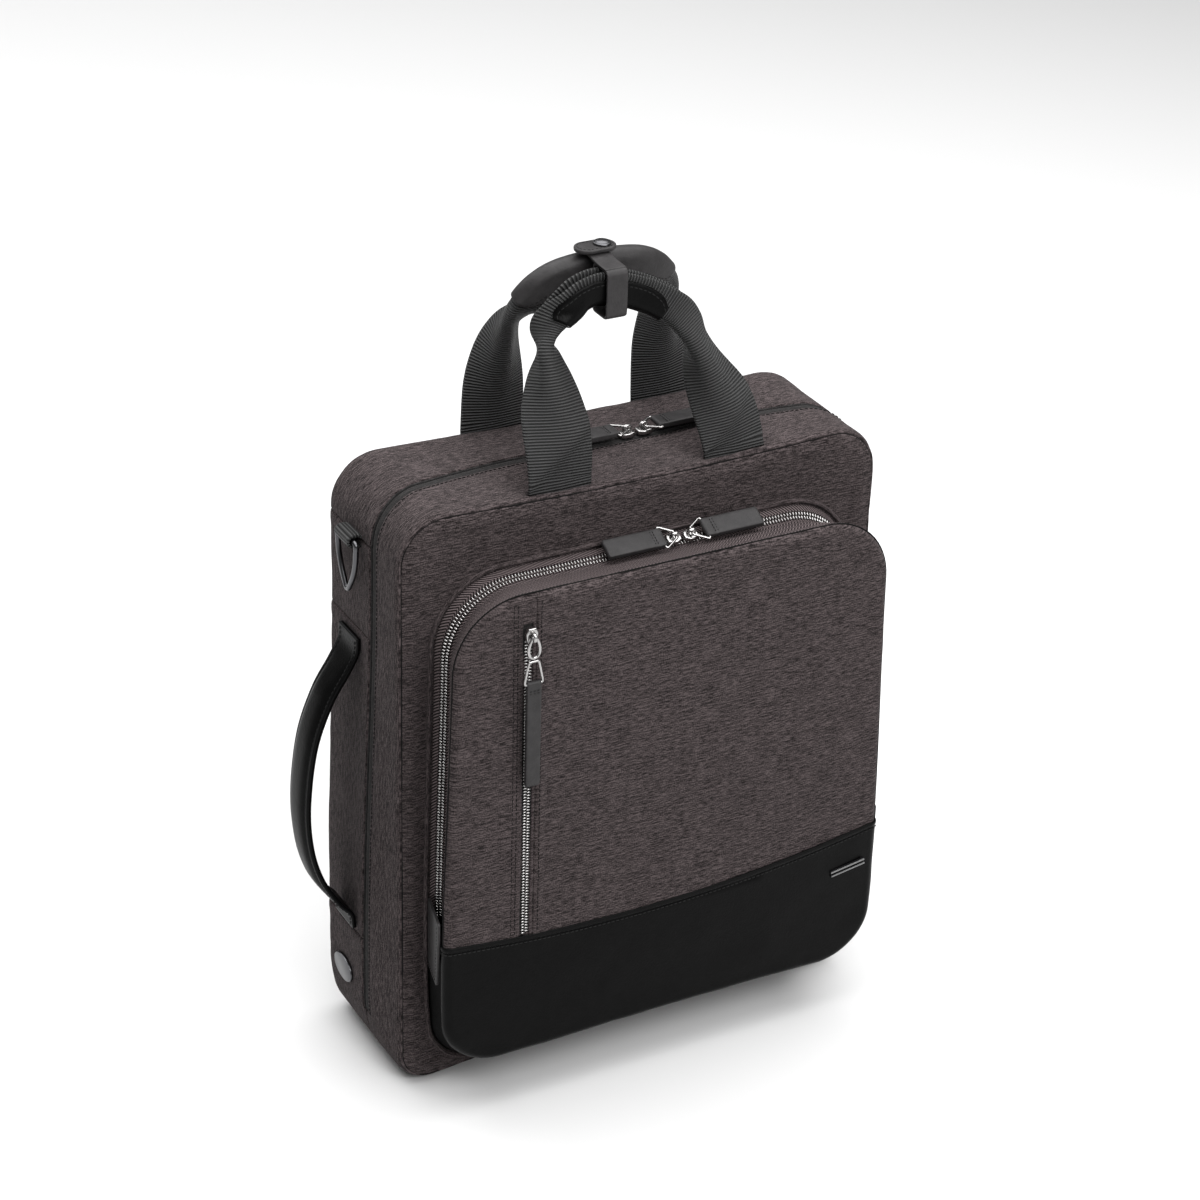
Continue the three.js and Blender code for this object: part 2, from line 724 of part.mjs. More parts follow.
// Oval link between the slit slider and its wire ring
function linkGeometry() {
  const path = steps(0, 2 * Math.PI, 12).slice(0, -1).map((angle) => new THREE.Vector3(
    slitLink.length / 2 - slitLink.play - (slitLink.length / 2) * Math.cos(angle),
    (slitLink.width / 2 - slitLink.wire) * Math.sin(angle),
    0,
  ));
  return wireLoop(path, new THREE.Vector3(0, 0, 1), slitLink.wire, ringSides);
}

const linkOrigin = slitOrigin.clone().addScaledVector(forward, bailCentre);
addPiece('slit_zip_link', placeAt(linkGeometry(), linkOrigin, down, forward), 'nickel');

// Leather corner tabs

function addCornerTab(name, sign) {
  const middle = (cornerTab.top + cornerTab.bottom) / 2;
  const wallX = (y) => surfacePoint(leather, [sign * bodyHeight, y, middle], [-sign, 0, 0]).x;
  const backEdge = frontY - weltHeight - 3 * gap;
  const frontEdge = frontY - pocketDepth + pocketEdgeRoll;
  const near = new THREE.Vector3(wallX(backEdge), backEdge, 0);
  const far = new THREE.Vector3(wallX(frontEdge), frontEdge, 0);
  const along = far.clone().sub(near).normalize();
  const length = far.distanceTo(near);
  const shape = new THREE.Shape();
  shape.moveTo(0, cornerTab.bottom);
  shape.lineTo(length - cornerTab.taper, cornerTab.bottom + cornerTab.skew);
  shape.lineTo(length, cornerTab.top - cornerTab.skew);
  shape.lineTo(length, cornerTab.top + cornerTab.skew);
  shape.lineTo(0, cornerTab.top);
  const flap = new THREE.ExtrudeGeometry(shape, { depth: cornerTab.thickness, bevelEnabled: false });
  const up = new THREE.Vector3(0, 0, 1);
  const side = new THREE.Vector3().crossVectors(along, up);
  const matrix = new THREE.Matrix4().makeBasis(along, up, side);
  const outward = side.clone().multiplyScalar(Math.sign(side.x) * sign);
  const start = side.x * sign > 0 ? gap * 2 : gap * 2 + cornerTab.thickness;
  matrix.setPosition(near.clone().addScaledVector(outward, start));
  addPiece(name, flap.applyMatrix4(matrix), 'leather');
}

addCornerTab('corner_tab_left', -1);
addCornerTab('corner_tab_right', 1);

// Plain plate on the leather and plain oval badge on the side

function capsuleShape(length, height, radius) {
  const shape = new THREE.Shape();
  const x = length / 2 - radius;
  const y = height / 2 - radius;
  shape.absarc(x, y, radius, 0, Math.PI / 2, false);
  shape.absarc(-x, y, radius, Math.PI / 2, Math.PI, false);
  shape.absarc(-x, -y, radius, Math.PI, 1.5 * Math.PI, false);
  shape.absarc(x, -y, radius, 1.5 * Math.PI, 2 * Math.PI, false);
  return shape;
}

function slab(shape, thickness, curveSegments) {
  return new THREE.ExtrudeGeometry(shape, { depth: thickness, bevelEnabled: false, curveSegments });
}

const plateTilt = THREE.MathUtils.degToRad(plate.tilt);
const plateY = Math.min(...[-0.5, 0, 0.5].flatMap((u) => [-0.5, 0.5].map((v) => (
  surfacePoint(leather, [plate.x + u * plate.length, -bodyHeight, plate.z + v * plate.height], [0, 1, 0]).y))));
const plateAlong = new THREE.Vector3(Math.cos(plateTilt), 0, Math.sin(plateTilt));
const plateSlab = slab(capsuleShape(plate.length, plate.height, 0.8), plate.thickness, 2);
const plateOrigin = new THREE.Vector3(plate.x, plateY - gap, plate.z);
addPiece('front_plate', placeAt(plateSlab, plateOrigin, plateAlong, forward), 'nickel');

const badgeX = Math.min(...[-0.5, 0, 0.5].flatMap((u) => [-0.5, 0, 0.5].map((v) => (
  surfacePoint(backShell, [-bodyHeight, badge.y + u * badge.length, badge.z + v * badge.height], [1, 0, 0]).x))));
const badgeShape = new THREE.Shape();
badgeShape.absellipse(0, 0, badge.length / 2, badge.height / 2, 0, 2 * Math.PI, false, 0);
const leftward = new THREE.Vector3(-1, 0, 0);
const backward = new THREE.Vector3(0, 1, 0);
const badgeOrigin = new THREE.Vector3(badgeX - gap, badge.y, badge.z);
const badgeSlab = slab(badgeShape, badge.thickness, 12);
addPiece('side_badge', placeAt(badgeSlab, badgeOrigin, backward, leftward), 'gunmetal');

// Top handles

// From the feet to the apex of an arch: rise is the share of the full rise, out the
// share of the way from the foot's depth to the grip's, fold how far the webbing is
// folded lengthwise in degrees, turn how far it has turned from facing forwards to
// the radial direction of the arch, and bend the radius along the fold.
const archTable = [
  { rise: 0.0, out: 0.0, fold: 4, turn: 0, bend: 60 },
  { rise: 0.24, out: 0.08, fold: 40, turn: 2, bend: 22 },
  { rise: 0.45, out: 0.24, fold: 110, turn: 6, bend: 8 },
  { rise: 0.62, out: 0.44, fold: 160, turn: 26, bend: 4 },
  { rise: 0.74, out: 0.62, fold: 174, turn: 62, bend: foldRadius },
  { rise: 0.84, out: 0.78, fold: 176, turn: 90, bend: foldRadius },
  { rise: 0.925, out: 0.91, fold: 176, turn: 90, bend: foldRadius },
  { rise: 0.98, out: 0.98, fold: 176, turn: 90, bend: foldRadius },
  { rise: 1.0, out: 1.0, fold: 176, turn: 90, bend: foldRadius },
];

// How far right the middle of each leg lies, in the rows of the table above
const legLines = {
  front: {
    left: [-53, -50, -48, -47, -47, -44, -38, -30, -19],
    right: [60, 56, 48, 41.5, 36, 27, 11.5, -5, -19],
  },
  rear: {
    left: [-52, -50.5, -49, -48, -47, -45, -39, -27, -4],
    right: [60, 59, 57, 53, 47, 39, 30, 18, -4],
  },
};

// The stations of one arch from its left foot over the apex to its right foot,
// with further stations between the rows of the table
function archStations(side, subdivisions) {
  const climb = archTable.map((row, i) => ({ ...row, x: legLines[side].left[i] }));
  const descent = archTable.map((row, i) => ({ ...row, x: legLines[side].right[i] })).reverse();
  const rows = [...climb, ...descent.slice(1)];
  const keys = Object.keys(rows[0]);
  const stations = [];
  for (let i = 0; i + 1 < rows.length; i += 1) {
    const before = rows[Math.max(0, i - 1)];
    const after = rows[Math.min(rows.length - 1, i + 2)];
    for (let step = 0; step < subdivisions; step += 1) {
      const t = step / subdivisions;
      const blended = (key) => catmull(before[key], rows[i][key], rows[i + 1][key], after[key], t);
      stations.push(Object.fromEntries(keys.map((key) => [key, blended(key)])));
    }
  }
  return [...stations, rows.at(-1)];
}

function catmull(a, b, c, d, t) {
  const slopeIn = (c - a) / 2;
  const slopeOut = (d - b) / 2;
  const change = c - b;
  const square = 3 * change - 2 * slopeIn - slopeOut;
  const cube = slopeIn + slopeOut - 2 * change;
  return b + slopeIn * t + square * t ** 2 + cube * t ** 3;
}

// One cross-section of a strip folded about its middle line. Distances run from
// the middle; the arc has the bend radius, and the rest of each half is flat.
function foldedSection(halfWidth, fold, bend, offset) {
  const halfFold = THREE.MathUtils.degToRad(fold) / 2;
  const arcLength = Math.min(bend * halfFold, halfWidth * 0.98);
  const radius = arcLength / halfFold;
  const shares = [0, 0.5, 1];
  const half = [
    ...shares.map((share) => {
      const angle = halfFold * share;
      return { side: (radius + offset) * Math.sin(angle), back: radius - (radius + offset) * Math.cos(angle) };
    }),
    ...[0.5, 1].map((share) => {
      const run = (halfWidth - arcLength) * share;
      return {
        side: (radius + offset) * Math.sin(halfFold) + run * Math.cos(halfFold),
        back: radius - (radius + offset) * Math.cos(halfFold) + run * Math.sin(halfFold),
      };
    }),
  ];
  const mirrored = half.slice(1).reverse().map(({ side, back }) => ({ side: -side, back }));
  return [...mirrored, ...half];
}

const foldedHeight = webWidth / 2 + foldRadius * (1 - Math.PI / 2) + webThickness;

// The arch runs through the middle of the folded webbing. radial is +1 where the
// fold lies on the outside of the arch, -1 where it lies on the inside.
function archFrames(side, footY, gripY, radial) {
  const rise = apexHeight[side];
  const stations = archStations(side, 2);
  const footZ = topHeight(footY, [stations[0].x, stations.at(-1).x]) + gap;
  const centres = stations.map((row) => new THREE.Vector3(
    row.x,
    mix(footY, gripY, row.out),
    footZ + row.rise * rise,
  ));
  return stations.map((row, i) => {
    const next = centres[Math.min(centres.length - 1, i + 1)];
    const along = next.clone().sub(centres[Math.max(0, i - 1)]).normalize();
    if (i === 0 || i === centres.length - 1) {
      along.set(0, 0, i === 0 ? 1 : -1);
    }
    const outwards = new THREE.Vector3(-along.z, 0, along.x).normalize();
    const turn = THREE.MathUtils.degToRad(row.turn);
    const facing = new THREE.Vector3(0, -Math.cos(turn), 0)
      .addScaledVector(outwards, radial * Math.sin(turn));
    facing.addScaledVector(along, -facing.dot(along)).normalize();
    const across = new THREE.Vector3().crossVectors(along, facing);
    const shift = radial * (foldedHeight / 2) * Math.sin(turn);
    const middle = centres[i].clone().addScaledVector(outwards, shift);
    return { ...row, middle, facing, across, bend: Math.max(row.bend, foldRadius) };
  });
}

// The height of the cloth under the feet of an arch
function topHeight(y, feet) {
  const shell = y < 0 ? frontShell : backShell;
  const ends = [-webWidth / 2, webWidth / 2];
  const xs = feet.flatMap((x) => ends.map((end) => x + end));
  return Math.max(...xs.map((x) => surfacePoint(shell, [x, y, 2 * bodyHeight], [0, 0, -1]).z));
}

function sectionPoints(frame, halfWidth, offset) {
  return foldedSection(halfWidth, frame.fold, frame.bend, offset).map(({ side, back }) => (
    frame.middle.clone().addScaledVector(frame.across, side).addScaledVector(frame.facing, -back)));
}

function webbingGeometry(frames) {
  const layer = (offset) => frames.map((frame) => sectionPoints(frame, webWidth / 2, offset));
  return netSolid(layer(webThickness / 2), layer(-webThickness / 2));
}

// The wrap hugs the fold of the webbing, and its ends are rounded off
function wrapGeometry(frames) {
  const inside = webThickness / 2 + gap;
  const gripped = frames.filter((frame) => frame.rise > gripWrap.lowestRise);
  const widthAt = (frame, i) => {
    const share = Math.abs((2 * i) / (gripped.length - 1) - 1);
    return frame.bend * (Math.PI / 2) + gripWrap.side * Math.sqrt(Math.max(0.25, 1 - share ** 6));
  };
  const layer = (offset) => gripped.map((frame, i) => sectionPoints(frame, widthAt(frame, i), offset));
  return netSolid(layer(inside + gripWrap.thickness), layer(inside));
}

const frontFootY = frontY + handleFootInset + webThickness / 2;
const rearFootY = backY - backSeamRoll + handleFootInset;
const frontFrames = archFrames('front', frontFootY, frontGripY, -1);
const rearFrames = archFrames('rear', rearFootY, rearGripY, 1);
const handleFront = addPiece('handle_front', webbingGeometry(frontFrames), 'webbing');
addPiece('handle_rear', webbingGeometry(rearFrames), 'webbing');
const gripFront = addPiece('grip_front', wrapGeometry(frontFrames), 'leather');
const gripRear = addPiece('grip_rear', wrapGeometry(rearFrames), 'leather');

// Snap strap: a ring of leather round the front grip with a tail over the rear grip

// The room a piece takes up between two values of X
function spanAt(mesh, low, high) {
  const span = new THREE.Box3();
  const positions = mesh.geometry.attributes.position;
  for (let i = 0; i < positions.count; i += 1) {
    const point = new THREE.Vector3().fromBufferAttribute(positions, i);
    if (point.x > low && point.x < high) {
      span.expandByPoint(point);
    }
  }
  return span;
}

const snapReach = snap.width / 2 + 4;
const frontSpan = spanAt(gripFront, snap.x - snapReach, snap.x + snapReach)
  .union(spanAt(handleFront, snap.x - snapReach, snap.x + snapReach))
  .expandByScalar(gap);
const rearSpan = spanAt(gripRear, snap.x - snapReach, snap.x + snapReach).expandByScalar(gap);
const tailZ = Math.max(rearSpan.max.z, frontSpan.max.z);
const tailY = mix(rearSpan.min.y, rearSpan.max.y, snap.overRear);

function profileAlongX(shape) {
  const solid = new THREE.ExtrudeGeometry(shape, { depth: snap.width, bevelEnabled: false });
  const basis = new THREE.Matrix4().makeBasis(
    new THREE.Vector3(0, 1, 0),
    new THREE.Vector3(0, 0, 1),
    new THREE.Vector3(1, 0, 0),
  );
  basis.setPosition(snap.x - snap.width / 2, 0, 0);
  return solid.applyMatrix4(basis);
}

function strapShape() {
  const t = snap.thickness;
  const { min: low, max: high } = frontSpan;
  const shape = new THREE.Shape();
  const cut = t * 0.6;
  shape.moveTo(low.y - t, low.z - t + cut);
  shape.lineTo(low.y - t + cut, low.z - t);
  shape.lineTo(high.y + t - cut, low.z - t);
  shape.lineTo(high.y + t, low.z - t + cut);
  shape.lineTo(high.y + t, high.z - t);
  shape.lineTo(rearSpan.min.y, tailZ);
  shape.lineTo(tailY, tailZ);
  shape.lineTo(tailY, tailZ + t);
  shape.lineTo(rearSpan.min.y - t, tailZ + t);
  shape.lineTo(high.y, high.z + t);
  shape.lineTo(low.y - t + cut, high.z + t);
  shape.lineTo(low.y - t, high.z + t - cut);
  const hole = new THREE.Path();
  hole.moveTo(low.y, low.z);
  hole.lineTo(low.y, high.z);
  hole.lineTo(high.y, high.z);
  hole.lineTo(high.y, low.z);
  shape.holes.push(hole);
  return shape;
}

addPiece('snap_strap', profileAlongX(strapShape()), 'leather');

const snapTop = tailZ + snap.thickness + gap;
const upward = new THREE.Vector3(0, 0, 1);
const rightward = new THREE.Vector3(1, 0, 0);
const snapCentre = new THREE.Vector3(snap.x, tailY - snap.forward, snapTop);
const snapOutline = capsuleShape(snapTab.length, snapTab.width, snapTab.width / 2 - 0.1);
const snapSlab = slab(snapOutline, snapTab.thickness, 5);
addPiece('snap_tab', placeAt(snapSlab, snapCentre, rightward, upward), 'leather');

// The cap in shares of its radius: distance from its middle and height
const capProfile = [[0, 0], [1, 0], [0.94, 0.22], [0.6, 0.4], [0, 0.46]]
  .map(([r, h]) => new THREE.Vector2(r * snapCapRadius, h * snapCapRadius));
const cap = new THREE.LatheGeometry(capProfile, 14);
cap.rotateX(Math.PI / 2);
cap.translate(snapCentre.x + snapTab.capShift, snapCentre.y, snapCentre.z + snapTab.thickness + gap);
addPiece('snap_button', fromManifold(toManifold(cap)), 'gunmetal');

// Leather side handle

// From the top foot to the bottom foot: along is the share of the length, bow the
// share of the greatest reach, pad the share of the padding
const sideHandleTable = [
  { along: 0.0, bow: 0.0, pad: 0.0 },
  { along: 0.05, bow: 0.02, pad: 0.0 },
  { along: 0.11, bow: 0.22, pad: 0.35 },
  { along: 0.2, bow: 0.56, pad: 1.0 },
  { along: 0.34, bow: 0.87, pad: 1.0 },
  { along: 0.53, bow: 1.0, pad: 1.0 },
  { along: 0.68, bow: 0.93, pad: 1.0 },
  { along: 0.8, bow: 0.7, pad: 1.0 },
  { along: 0.9, bow: 0.33, pad: 0.35 },
  { along: 0.95, bow: 0.06, pad: 0.0 },
  { along: 1.0, bow: 0.0, pad: 0.0 },
];
const sideAcross = [-0.5, -0.34, 0, 0.34, 0.5];
const sideDome = [0, 0.75, 1, 0.75, 0];

function sideSeat(z) {
  const ys = [-0.5, 0.5].map((share) => sideHandle.y + share * sideHandle.width);
  return Math.min(...ys.map((y) => surfacePoint(backShell, [-bodyHeight, y, z], [1, 0, 0]).x));
}

function sideHandleGeometry() {
  const topSeat = sideSeat(sideHandle.top);
  const bottomSeat = sideSeat(sideHandle.bottom);
  const rise = gap * 2 + sideHandle.thickness / 2;
  const centres = sideHandleTable.map(({ along, bow }) => new THREE.Vector3(
    mix(topSeat, bottomSeat, along) - rise - bow * sideHandle.bow,
    sideHandle.y,
    mix(sideHandle.top, sideHandle.bottom, along),
  ));
  const layer = (sign) => centres.map((centre, i) => {
    const next = centres[Math.min(centres.length - 1, i + 1)];
    const before = centres[Math.max(0, i - 1)];
    const along = next.clone().sub(before).normalize();
    const outwards = new THREE.Vector3(along.z, 0, -along.x);
    const pad = sideHandle.padding * sideHandleTable[i].pad;
    return sideAcross.map((share, k) => {
      const height = sign > 0 ? sideHandle.thickness / 2 + pad * sideDome[k] : -sideHandle.thickness / 2;
      return centre.clone().addScaledVector(outwards, height).setY(centre.y + share * sideHandle.width);
    });
  });
  return netSolid(layer(1), layer(-1));
}

addPiece('side_handle', sideHandleGeometry(), 'leather');

// Shoulder strap rings: a rounded D with its bar along Y, hung in a sewn loop

function roundedPath(corners) {
  return corners.flatMap(([y, z, radius], i) => {
    const here = new THREE.Vector2(y, z);
    const before = new THREE.Vector2(...corners.at(i - 1));
    const after = new THREE.Vector2(...corners[(i + 1) % corners.length]);
    const start = here.clone().add(before.sub(here).setLength(radius));
    const end = here.clone().add(after.sub(here).setLength(radius));
    return [0, 0.5, 1].map((t) => {
      const first = start.clone().lerp(here, t);
      return first.lerp(here.clone().lerp(end, t), t);
    });
  });
}

function addRing(name, loopName, sign) {
  const seat = surfacePoint(backShell, [sign * bodyHeight, dRing.y, dRing.z], [-sign, 0, 0]).x;
  const barX = seat + sign * dRing.standoff;
  const halfWidth = dRing.width / 2;
  const corners = [
    [-halfWidth, 0, 3],
    [halfWidth, 0, 3],
    [halfWidth * 0.86, -dRing.height * 0.5, 9],
    [0, -dRing.height, 6],
    [-halfWidth * 0.86, -dRing.height * 0.5, 9],
  ];
  const path = roundedPath(corners)
    .map((point) => new THREE.Vector3(barX, dRing.y + point.x, dRing.z + point.y));
  addPiece(name, wireLoop(path, new THREE.Vector3(1, 0, 0), dRing.wire, 8), 'gunmetal');

  const bore = dRing.wire + ringLoop.clearance;
  const outside = bore + ringLoop.thickness;
  const reach = Math.abs(barX - seat) - gap;
  const shape = new THREE.Shape();
  shape.absarc(0, 0, outside, -Math.PI / 2, Math.PI / 2, false);
  shape.lineTo(-reach, outside * 0.95);
  shape.lineTo(-reach, -outside * 0.1);
  shape.lineTo(-outside * 0.6, -outside * 0.8);
  const hole = new THREE.Path();
  hole.absarc(0, 0, bore, 0, 2 * Math.PI, true);
  shape.holes.push(hole);
  const extrusion = { depth: ringLoop.width, bevelEnabled: false, curveSegments: 8 };
  const loop = new THREE.ExtrudeGeometry(shape, extrusion);
  const basis = new THREE.Matrix4().makeBasis(
    new THREE.Vector3(sign, 0, 0),
    new THREE.Vector3(0, 0, 1),
    new THREE.Vector3(0, -sign, 0),
  );
  basis.setPosition(barX, dRing.y + (sign * ringLoop.width) / 2, dRing.z);
  addPiece(loopName, loop.applyMatrix4(basis), 'webbing');
}

addRing('d_ring_left', 'ring_loop_left', -1);
addRing('d_ring_right', 'ring_loop_right', 1);

// The origin goes to the middle of the footprint, on the standing surface

const bounds = new THREE.Box3().setFromObject(model);
model.position.set(
  -(bounds.min.x + bounds.max.x) / 2,
  -(bounds.min.y + bounds.max.y) / 2,
  -bounds.min.z,
);

const backpack = new THREE.Group();
backpack.add(model);

export default backpack;
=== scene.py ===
"""Looks of the convertible backpack: cloth, leather, zips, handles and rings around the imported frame."""

import itertools
import json
import math

import bmesh
import bpy
import numpy as np
from mathutils import Matrix, Vector

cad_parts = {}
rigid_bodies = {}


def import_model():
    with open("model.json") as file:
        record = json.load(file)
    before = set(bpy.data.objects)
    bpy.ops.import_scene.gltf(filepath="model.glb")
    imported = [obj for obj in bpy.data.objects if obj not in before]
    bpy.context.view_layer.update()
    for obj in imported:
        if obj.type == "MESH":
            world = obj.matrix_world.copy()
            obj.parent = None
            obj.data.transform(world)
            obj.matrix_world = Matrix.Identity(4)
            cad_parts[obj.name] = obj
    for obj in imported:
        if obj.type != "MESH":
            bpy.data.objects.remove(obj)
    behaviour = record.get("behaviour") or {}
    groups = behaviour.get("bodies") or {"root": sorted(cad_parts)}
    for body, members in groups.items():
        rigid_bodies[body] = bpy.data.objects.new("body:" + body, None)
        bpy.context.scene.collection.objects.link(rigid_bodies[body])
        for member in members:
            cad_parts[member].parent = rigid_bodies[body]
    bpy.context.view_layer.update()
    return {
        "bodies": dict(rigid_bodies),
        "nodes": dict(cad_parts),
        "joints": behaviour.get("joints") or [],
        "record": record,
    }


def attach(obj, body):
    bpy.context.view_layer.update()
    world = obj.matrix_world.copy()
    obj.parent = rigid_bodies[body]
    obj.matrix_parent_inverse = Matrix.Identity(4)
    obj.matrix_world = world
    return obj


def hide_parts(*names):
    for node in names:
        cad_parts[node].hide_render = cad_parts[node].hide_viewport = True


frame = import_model()

# Sizes in millimetres, in the body's own frame: X right, Y back, Z up from the base
SHIFT = np.array([14.604, 22.964, 0.0])
BODY_DEPTH = 97.6
FRONT_Y = -BODY_DEPTH / 2
BACK_Y = BODY_DEPTH / 2
BODY = {"centre": 0, "half": 155, "bottom": 0, "top": 383, "top_radius": 31, "bottom_radius": 22}
FRONT_ROLL = 4.5
BACK_ROLL = 9.0
BACK_CROWN = 5.0
BODY_SWELL = 5
ZIP_END = 34.0
ZIP_HALF = 4.0
GUSSET_SPAN = BODY["top"] - BODY["top_radius"] - ZIP_END
DARTS = (349.5, 290.0, 84.0)
POCKET_CENTRE = 1.6
POCKET_HALF = 134.6
POCKET_BOTTOM = 9.5
POCKET_TOP = 340.2
POCKET_DEPTH = 41.2
POCKET_FACE = FRONT_Y - POCKET_DEPTH
POCKET_ROLL = 5.0
POCKET_STOPS = (123.9, 131.3)
SECTION_REACH = (0.6, 11.2, 36.2)
PANEL_REACH = SECTION_REACH[-1]
SECTION_GROW = (0.0, -5.2, 6.4)
SECTION_GROW_TOP = (0.0, -5.2, 3.1)
SECTION_RISE = (0.0, 7.5, 24.5)
SLIT_X = -95.0
WEB_WIDTH = 40.0
WEB_THICKNESS = 2.1

# Numbers of columns in the parts of a ring
BOTTOM, CORNER, BELOW, TOP = 30, 16, 20, 110
EVEN_SHARES = np.linspace(0, 1, 80)
DART_OFFSETS = np.array([-3.2, -1.6, -0.9, -0.45, 0, 0.45, 0.9, 1.6, 3.2]) / GUSSET_SPAN
BODY_SHARES = np.unique(np.clip(np.concatenate(
    [EVEN_SHARES] + [(z - ZIP_END) / GUSSET_SPAN + DART_OFFSETS for z in DARTS]), 0, 1))


def smooth(value, low, high):
    """Eases from 0 at low to 1 at high."""
    t = np.clip((value - low) / (high - low), 0, 1)
    return t * t * (3 - 2 * t)


def bump(value, middle, width):
    """A soft bump of height 1 round the middle."""
    return np.exp(-(((value - middle) / width) ** 2))


def noise(points, scale, seed):
    """Smooth noise from -1 to 1, one value for each point."""
    place = np.asarray(points, float) / scale + seed * 17.31
    base = np.floor(place).astype(np.int64)
    ease = place - base
    ease = ease * ease * (3 - 2 * ease)
    total = np.zeros(place.shape[:-1])
    for corner in itertools.product((0, 1), repeat=3):
        cell = base + np.array(corner)
        mixed = (cell[..., 0] * 73856093) ^ (cell[..., 1] * 19349663) ^ (cell[..., 2] * 83492791)
        mixed = (mixed ^ (mixed >> 13)) * 1274126177
        mixed = (mixed ^ (mixed >> 16)) & 0xFFFF
        weight = np.prod(np.where(np.array(corner) == 1, ease, 1 - ease), axis=-1)
        total += weight * mixed / 65535
    return total * 2 - 1


# Materials


def material(name, colour, roughness, metallic=0.0, specular=0.5):
    made = bpy.data.materials.new(name)
    made.use_nodes = True
    shader = made.node_tree.nodes["Principled BSDF"]
    shader.inputs["Base Color"].default_value = (*colour, 1)
    shader.inputs["Roughness"].default_value = roughness
    shader.inputs["Metallic"].default_value = metallic
    shader.inputs["Specular IOR Level"].default_value = specular
    return made


class Nodes:
    """Short ways to add shader nodes to a material."""

    def __init__(self, made):
        self.tree = made.node_tree
        self.shader = self.tree.nodes["Principled BSDF"]

    def add(self, kind, links=None, **values):
        node = self.tree.nodes.new(kind)
        for key, value in values.items():
            if hasattr(node, key):
                setattr(node, key, value)
            else:
                node.inputs[key.replace("_", " ").title()].default_value = value
        for key, socket in (links or {}).items():
            self.tree.links.new(socket, node.inputs[key])
        return node

    def uv(self, scale):
        place = self.add("ShaderNodeTexCoord").outputs["UV"]
        mapping = self.add("ShaderNodeMapping", {"Vector": place})
        mapping.inputs["Scale"].default_value = scale
        return mapping.outputs["Vector"]

    def noise(self, vector, scale=1.0, detail=2.0, roughness=0.5):
        made = self.add("ShaderNodeTexNoise", {"Vector": vector})
        made.inputs["Scale"].default_value = scale
        made.inputs["Detail"].default_value = detail
        made.inputs["Roughness"].default_value = roughness
        return made.outputs["Fac"]

    def math(self, operation, first, second=0.0):
        made = self.add("ShaderNodeMath", operation=operation)
        for index, value in enumerate((first, second)):
            if isinstance(value, (int, float)):
                made.inputs[index].default_value = value
            else:
                self.tree.links.new(value, made.inputs[index])
        return made.outputs[0]

    def ramp(self, factor, stops):
        made = self.add("ShaderNodeValToRGB", {"Fac": factor})
        ramp = made.color_ramp
        while len(ramp.elements) < len(stops):
            ramp.elements.new(0.5)
        for element, (position, colour) in zip(ramp.elements, stops):
            element.position = position
            element.color = (*colour, 1)
        return made.outputs["Color"]

    def bump(self, height, distance, strength=1.0):
        made = self.add("ShaderNodeBump", {"Height": height})
        made.inputs["Distance"].default_value = distance
        made.inputs["Strength"].default_value = strength
        self.tree.links.new(made.outputs["Normal"], self.shader.inputs["Normal"])


def grey(value, tint=(1, 1, 1)):
    return tuple(value * part for part in tint)


def cloth_material(name, dark, light, tint):
    made = material(name, grey(light, tint), 0.9, specular=0.06)
    nodes = Nodes(made)
    slub = nodes.noise(nodes.uv((70, 1300, 1)), 1.0, 2.0, 0.6)
    fleck = nodes.noise(nodes.uv((240, 1900, 1)), 1.0, 1.0, 0.5)
    cross = nodes.noise(nodes.uv((1500, 900, 1)), 1.0, 0.0)
    cloud = nodes.noise(nodes.uv((34, 90, 1)), 1.0, 2.0, 0.5)
    mixed = nodes.math("ADD", nodes.math("MULTIPLY", slub, 0.34), nodes.math("MULTIPLY", fleck, 0.42))
    mixed = nodes.math("ADD", mixed, nodes.math("MULTIPLY", cross, 0.19))
    mixed = nodes.math("ADD", mixed, nodes.math("MULTIPLY", cloud, 0.05))
    colour = nodes.ramp(mixed, [
        (0.41, grey(dark, tint)), (0.5, grey((dark + light) * 0.42, tint)), (0.59, grey(light, tint)),
    ])
    made.node_tree.links.new(colour, nodes.shader.inputs["Base Color"])
    warp = nodes.noise(nodes.uv((1800, 500, 1)), 1.0, 0.0)
    weft = nodes.noise(nodes.uv((260, 1900, 1)), 1.0, 1.0)
    nodes.bump(nodes.math("ADD", warp, weft), 0.00032, 0.75)
    nodes.shader.inputs["Sheen Weight"].default_value = 0.03
    nodes.shader.inputs["Sheen Roughness"].default_value = 0.5
    return made


def leather_material(name, colour, roughness, specular, grain=0.00012):
    made = material(name, colour, roughness, specular=specular)
    nodes = Nodes(made)
    place = nodes.add("ShaderNodeTexCoord").outputs["Object"]
    cells = nodes.add("ShaderNodeTexVoronoi", {"Vector": place}, feature="SMOOTH_F1")
    cells.inputs["Scale"].default_value = 950
    pores = nodes.noise(place, 2400, 2.0, 0.6)
    swell = nodes.noise(place, 90, 2.0, 0.5)
    height = nodes.math("ADD", cells.outputs["Distance"], nodes.math("MULTIPLY", pores, 0.5))
    height = nodes.math("ADD", height, nodes.math("MULTIPLY", swell, 1.2))
    nodes.bump(height, grain, 0.8)
    shade = nodes.ramp(nodes.noise(place, 160, 3.0, 0.6), [
        (0.3, tuple(0.8 * part for part in colour)), (0.7, tuple(1.2 * part for part in colour)),
    ])
    made.node_tree.links.new(shade, nodes.shader.inputs["Base Color"])
    return made


